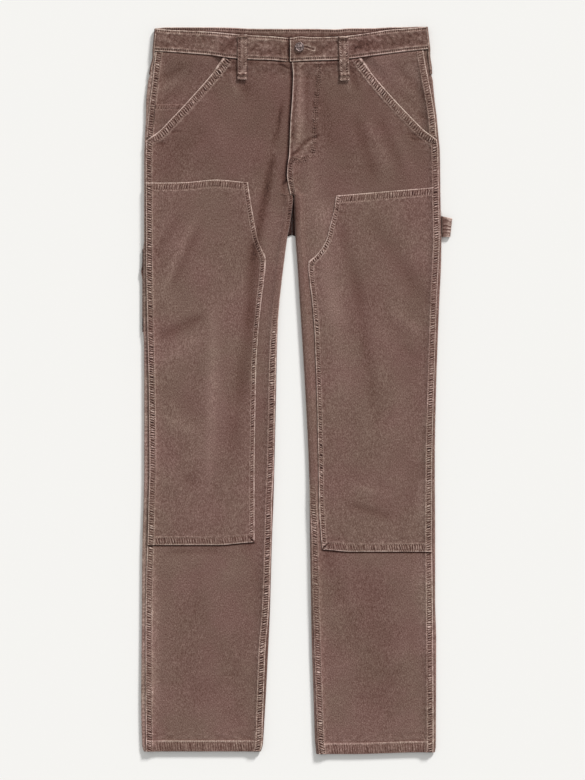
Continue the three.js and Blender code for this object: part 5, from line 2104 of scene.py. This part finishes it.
@dataclass
class Sewing:
    """Stitches of one part of the garment, gathered and then made as one joined mesh."""

    name: str
    thread: float = 0.7
    pitch: float = 3.4
    length: float = 2.2
    ends: list[tuple[Array, Array]] = field(default_factory=list)

    def keep(self, piece: ClothPiece, first: Array, last: Array, lift: float) -> None:
        """Keep stitches by where they start and end on a piece, at a height above it.

        Args:
            piece: The cloth that is sewn.
            first: Where the stitches start, across and along.
            last: Where they end.
            lift: Height above the cloth.
        """
        self.ends.append(tuple(
            piece.surface(places[:, :1], places[:, 1:], lift)[0][:, 0] for places in (first, last)
        ))

    def row(
        self, piece: ClothPiece, path: Path, pitch: float | None = None, length: float | None = None
    ) -> None:
        """Sew one row along a path on a piece.

        Args:
            piece: The cloth that is sewn.
            path: The row, in the piece's own places across and along.
            pitch: Distance from stitch to stitch.
            length: Length of the thread that shows.
        """
        pitch, length = pitch or self.pitch, length or self.length
        middle = np.arange(pitch / 2, path.starts[-1], pitch)
        self.keep(piece, path.at(middle - length / 2), path.at(middle + length / 2), 0.02)

    def tack(
        self, piece: ClothPiece, start: tuple[float, float], end: tuple[float, float], width: float = 2.4
    ) -> None:
        """Sew a bar tack: close stitches across a short line.

        Args:
            piece: The cloth that is sewn.
            start: One end of its line, across and along.
            end: The other end.
            width: Length of the stitches.
        """
        line = Path([start, end])
        count = max(4, round(line.starts[-1] / 0.75))
        places = line.at(np.linspace(0, line.starts[-1], count))
        sideways = line.steps[0][::-1] * (-1, 1) / line.lengths[0] * width / 2
        slant = line.steps[0] / line.lengths[0] * 0.35
        self.keep(piece, places - sideways - slant, places + sideways + slant, 0.25)

    def build(self, finish: Finish) -> bpy.types.Object:
        """Model one stitch, copy it to every place and join the copies.

        Args:
            finish: The thread's finish.

        Returns:
            The joined stitches.
        """
        deselect()
        bpy.ops.mesh.primitive_uv_sphere_add(segments=5, ring_count=4, radius=0.5)
        template = bpy.context.object
        corners = np.array([vertex.co[:] for vertex in template.data.vertices])
        faces = [tuple(polygon.vertices) for polygon in template.data.polygons]
        bpy.data.objects.remove(template)
        first = np.concatenate([pair[0] for pair in self.ends])
        last = np.concatenate([pair[1] for pair in self.ends])
        run = last - first
        length = np.linalg.norm(run, axis=1, keepdims=True)
        run = run / np.maximum(length, 1e-6)
        side = np.cross(run, np.broadcast_to((0.0, 0.0, 1.0), run.shape))
        side /= np.maximum(np.linalg.norm(side, axis=1, keepdims=True), 1e-6)
        up = np.cross(side, run)
        middle = (first + last) / 2
        x, y, z = (corners[:, i][None, :, None] for i in range(3))
        points = (middle[:, None] + z * run[:, None] * length[:, None] + x * side[:, None] * self.thread
                  + y * up[:, None] * self.thread)
        count = len(corners)
        all_faces = [tuple(i + shift * count for i in face) for shift in range(len(middle)) for face in faces]
        mesh = bpy.data.meshes.new(self.name)
        mesh.from_pydata(to_metres(points.reshape(-1, 3)).tolist(), [], all_faces)
        piece = bpy.data.objects.new(self.name, mesh)
        bpy.context.collection.objects.link(piece)
        piece.data.materials.append(finish.material())
        for polygon in mesh.polygons:
            polygon.use_smooth = True
        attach(piece, "root")
        LOG.info("%s: %d stitches", self.name, len(middle))
        return piece


@dataclass
class ShankButton:
    """Dished metal button head on its shank."""

    x: float = 12.75
    y: float = 1057.2
    radius: float = 7.0
    shank: float = 2.2
    rim_height: float = 1.1
    bevel: float = 0.15
    clearance: float = 0.2
    insets: tuple[tuple[float, float], ...] = (
        (0.4, 0.4), (0.6, 0.1), (0.7, -0.1), (0.5, -0.5), (0.5, 0.0), (0.5, 0.3), (2.0, 0.12),
    )

    def disc(self, radius: float, low: float, high: float, vertices: int) -> bpy.types.Object:
        """Upright disc between two heights, at the button's place.

        Args:
            radius: Its radius.
            low: Height of its lower face.
            high: Height of its upper face.
            vertices: Corners round it.

        Returns:
            The disc, alone selected.
        """
        place = to_metres(np.array([self.x, self.y, (low + high) / 2]))
        deselect()
        bpy.ops.mesh.primitive_cylinder_add(
            vertices=vertices, radius=radius * MM, depth=(high - low) * MM, location=place
        )
        return bpy.context.object

    def head(self, under: float) -> bpy.types.Object:
        """Dished head, shaped from a disc by insets of its upper face.

        Args:
            under: Height of its underside.

        Returns:
            The head.
        """
        head = self.disc(self.radius, under, under + self.rim_height, 48)
        bpy.ops.object.mode_set(mode="EDIT")
        bpy.ops.mesh.select_all(action="DESELECT")
        bpy.ops.mesh.select_mode(type="FACE")
        bpy.ops.object.mode_set(mode="OBJECT")
        for polygon in head.data.polygons:
            polygon.select = polygon.normal.z > 0.9
        bpy.ops.object.mode_set(mode="EDIT")
        for inset, rise in self.insets:
            bpy.ops.mesh.inset(thickness=inset * MM, depth=rise * MM)
        bpy.ops.object.mode_set(mode="OBJECT")
        edges = {"limit_method": "ANGLE", "angle_limit": 0.6}
        apply_modifier(head, "BEVEL", width=self.bevel * MM, segments=2, **edges)
        return head

    def build(self, finish: Finish) -> bpy.types.Object:
        """Stand the head on its shank, and dress the button.

        Args:
            finish: The metal's finish.

        Returns:
            The finished button.
        """
        under = BAND_TOP + SEAM_GAP + self.clearance
        head = self.head(under)
        shank = self.disc(self.shank, BAND_TOP - BAND_WALL, under, 24)
        deselect()
        for part in (head, shank):
            part.select_set(True)
        bpy.context.view_layer.objects.active = head
        bpy.ops.object.join()
        bpy.ops.object.transform_apply(location=True, rotation=True, scale=True)
        bpy.ops.object.shade_smooth_by_angle(angle=0.6)
        head.name = head.data.name = "shank_button"
        head.data.materials.clear()
        head.data.materials.append(finish.material())
        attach(head, "root")
        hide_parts("button")
        LOG.info("%s: %d faces", head.name, len(head.data.polygons))
        return head


@dataclass
class Studio:
    """Pale floor, soft light from the upper right and a camera that looks straight down."""

    mm_per_pixel: float = 1.5
    photo_height: float = 780.0
    view_centre: tuple[float, float] = (2.25, 543.0)
    lens: float = 95.0
    sensor: float = 36.0
    sky: float = 0.55
    key: float = 4.1
    softness: float = 10.0
    elevation: float = 23.0
    azimuth: float = 30.0

    def build(self) -> None:
        """Make the floor, the lights and the camera."""
        self.floor()
        self.lights()
        self.camera()

    def floor(self) -> None:
        """One wide sheet of paper just below the garment."""
        deselect()
        bpy.ops.mesh.primitive_plane_add(size=6, location=(0, 0, -0.0004))
        floor = bpy.context.object
        floor.name = "studio_floor"
        bpy.ops.object.transform_apply(location=True)
        floor.data.materials.append(PaperFloor().material())

    def lights(self) -> None:
        """A low, broad key light from the upper right and an even sky."""
        world = bpy.data.worlds.new("studio_sky")
        bpy.context.scene.world = world
        world.use_nodes = True
        background = world.node_tree.nodes["Background"]
        background.inputs["Color"].default_value = linear("#ffffff")
        background.inputs["Strength"].default_value = self.sky
        light = bpy.data.lights.new("key_light", "SUN")
        light.energy = self.key
        light.angle = math.radians(self.softness)
        lamp = bpy.data.objects.new("key_light", light)
        bpy.context.collection.objects.link(lamp)
        lamp.location = (0.6, 1.2, 0.8)
        lamp.rotation_euler = (0.0, math.radians(90 - self.elevation), math.radians(90 - self.azimuth))

    def camera(self) -> None:
        """Long lens, straight down, framed as the photograph."""
        scene = bpy.context.scene
        data = bpy.data.cameras.new("camera")
        data.sensor_fit = "VERTICAL"
        data.sensor_height = self.sensor
        data.lens = self.lens
        tall = self.photo_height * self.mm_per_pixel * MM
        camera = bpy.data.objects.new("camera", data)
        bpy.context.collection.objects.link(camera)
        x, y, _ = to_metres(np.array([*self.view_centre, 0.0]))
        camera.location = (x, y, tall * self.lens / self.sensor + 0.005)
        scene.camera = camera
        scene.view_settings.view_transform = "Standard"
        scene.view_settings.look = "None"


@dataclass
class CarpenterPants:
    """The whole garment: its cloth, its sewing and its button."""

    canvas: Finish = field(default_factory=WashedCanvas)
    thread: Finish = field(default_factory=Thread)
    steel: Finish = field(default_factory=AntiquedSteel)

    def build(self) -> None:
        """Make every piece, from the surface up."""
        pieces = self.cloth()
        for piece in pieces.values():
            piece.build(self.canvas)
        for sewing in self.sewing(pieces):
            sewing.build(self.thread)
        ShankButton().build(self.steel)

    def cloth(self) -> dict[str, ClothPiece]:
        """Every cut piece by the name of its solid.

        Returns:
            The pieces, from the surface up.
        """
        right_knee = KneePanel(RIGHT, KNEE_EDGES["right"])
        left_knee = KneePanel(LEFT, KNEE_EDGES["left"], seed=131)
        right_front = FrontPanel(RIGHT, right_knee, CREASES["right_front"])
        left_front = FrontPanel(LEFT, left_knee, CREASES["left_front"], seed=33)
        pieces = (
            BackPanel(RIGHT),
            BackPanel(LEFT, seed=233),
            ToolPocket(RIGHT),
            right_front,
            left_front,
            PocketFacing(RIGHT, CREASES["right_facing"]),
            PocketFacing(LEFT, CREASES["left_facing"], seed=333, fading=0.0),
            CoinPocket(RIGHT),
            right_knee,
            left_knee,
            Waistband(CREASES["waistband"]),
            BeltLoop(RIGHT, right_front, top_u=72.4, bottom_u=72.8, bottom_y=1008.0),
            BeltLoop(LEFT, left_front, top_u=78.0, bottom_u=80.3, bottom_y=1006.5),
            SideLoop(RIGHT, top_y=1085.0),
            SideLoop(LEFT, top_y=1087.8),
            HammerLoop(LEFT),
        )
        return {piece.node: piece for piece in pieces}

    def sewing(self, pieces: dict[str, ClothPiece]) -> list[Sewing]:
        """Rows of stitches and bar tacks, a joined piece for each part of the garment.

        Args:
            pieces: Every piece by the name of its solid.

        Returns:
            The gathered stitches, not yet made.
        """
        groups = []
        for leg in (RIGHT, LEFT):
            front, knee = pieces[f"{leg.name}_front"], pieces[f"{leg.name}_knee_panel"]
            facing = pieces[f"{leg.name}_pocket_facing"]
            seams = Sewing(f"{leg.name}_leg_stitching")
            low, high = float(knee.bottom(200)), float(knee.top(200))
            for offset in (FELLED.first, FELLED.second):
                for piece, start, end in (
                    (front, 2, low - 2), (knee, low + 1, high - 1), (front, high + 2, 914),
                    (facing, 925, 1040),
                ):
                    seams.row(piece, beside_edge(leg.ridge, np.arange(start, end, ROW_SPACING), -offset))
                heights = np.arange(2, 826, ROW_SPACING)
                seams.row(front, beside_edge(front.start, heights[leg.wrap(heights) < 3.6], offset))
            outer = np.arange(float(leg.inner(15)) + 3, float(leg.ridge(15)) - 1, 3.0)
            seams.row(front, above_edge(leg.hem, outer, HEM_ROWS.second))
            edge = knee.edge_path
            inward = -1 if edge.beside(1).points[0][0] < edge.points[0][0] else 1
            for offset in (KNEE_SIDE.first, KNEE_SIDE.second):
                seams.row(knee, edge.beside(inward * offset))
            across = np.arange(float(knee.edge(low)) + 3, float(leg.ridge(low)) - 9, ROW_SPACING)
            for offset in (KNEE_ENDS.first, KNEE_ENDS.second):
                seams.row(knee, above_edge(knee.bottom, across, offset))
                seams.row(knee, above_edge(knee.top, across[across > float(knee.edge(high)) + 3], -offset))
            slant = front.pocket_edge
            inward = 1 if slant.beside(1).points[20][0] < slant.points[20][0] else -1
            for offset in (SLANTED.first, SLANTED.second):
                seams.row(front, slant.beside(inward * offset))
            groups.append(seams)
        groups.append(self.waist_sewing(pieces))
        groups.append(self.bar_tacks(pieces))
        return groups

    def waist_sewing(self, pieces: dict[str, ClothPiece]) -> Sewing:
        """Rows on the waistband and the fly.

        Args:
            pieces: Every piece by the name of its solid.

        Returns:
            The gathered stitches.
        """
        sewing = Sewing("waist_stitching")
        band, left = pieces["waistband"], pieces["left_front"]
        for level in (0.085, 0.915):
            for start, end, half_waist in ((0.02, 0.985, 200), (4.01, 4.98, 190)):
                sewing.row(band, Path([(start, level), (end, level)]), 3.2 / half_waist, 2.5 / half_waist)
        sewing.row(band, Path([(0.016, 0.1), (0.016, 0.9)]), 0.09, 0.07)
        for offset in (-1.6, 1.6):
            sewing.row(left, FLY_CURVE.beside(offset), 2.6, 1.5)
        for offset in (CENTRE_ROWS.first, CENTRE_ROWS.second):
            sewing.row(left, beside_edge(left.start, np.arange(842, 884, ROW_SPACING), offset))
        return sewing

    def bar_tacks(self, pieces: dict[str, ClothPiece]) -> Sewing:
        """Close stitches where the garment takes strain.

        Args:
            pieces: Every piece by the name of its solid.

        Returns:
            The gathered stitches.
        """
        sewing = Sewing("bar_tacks", thread=0.55)
        for name in ("right_belt_loop", "left_belt_loop"):
            loop = pieces[name]
            sewing.tack(loop, (-6.2, loop.bottom_y + 5.5), (6.2, loop.bottom_y + 5.5))
            sewing.tack(loop, (-6.2, loop.top_y - 3.6), (6.2, loop.top_y - 3.6))
        left = pieces["left_front"]
        sewing.tack(left, (2, 893), (14, 889))
        sewing.tack(left, (4, 838), (4, 848))
        for leg in (RIGHT, LEFT):
            front = pieces[f"{leg.name}_front"]
            sewing.tack(front, (float(leg.ridge(921)) - 9, 911), (float(leg.ridge(921)) - 1.5, 918))
            sewing.tack(front, (float(leg.slant(1030)) - 12, 1030), (float(leg.slant(1030)) - 3, 1035))
            knee = pieces[f"{leg.name}_knee_panel"]
            corner = min(knee.edge_rows[5:11], key=lambda row: row[1])
            sewing.tack(knee, (corner[1] + 3, corner[0] - 5), (corner[1] + 9, corner[0] - 1))
        pocket = pieces["tool_pocket"]
        for height in (TOOL_POCKET["top"] - 1.5, TOOL_POCKET["top"] - 24):
            sewing.tack(pocket, (1.45, height), (1.95, height), 0.3)
        hammer = pieces["hammer_loop"]
        sewing.tack(hammer, (0.12, 0.1), (0.12, 0.9), 0.2)
        return sewing


def main() -> None:
    """Build the garment around the frame, then the studio."""
    logging.basicConfig(level=logging.INFO, format="%(message)s")
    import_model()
    CarpenterPants().build()
    Studio().build()


if __name__ == "__main__":
    main()
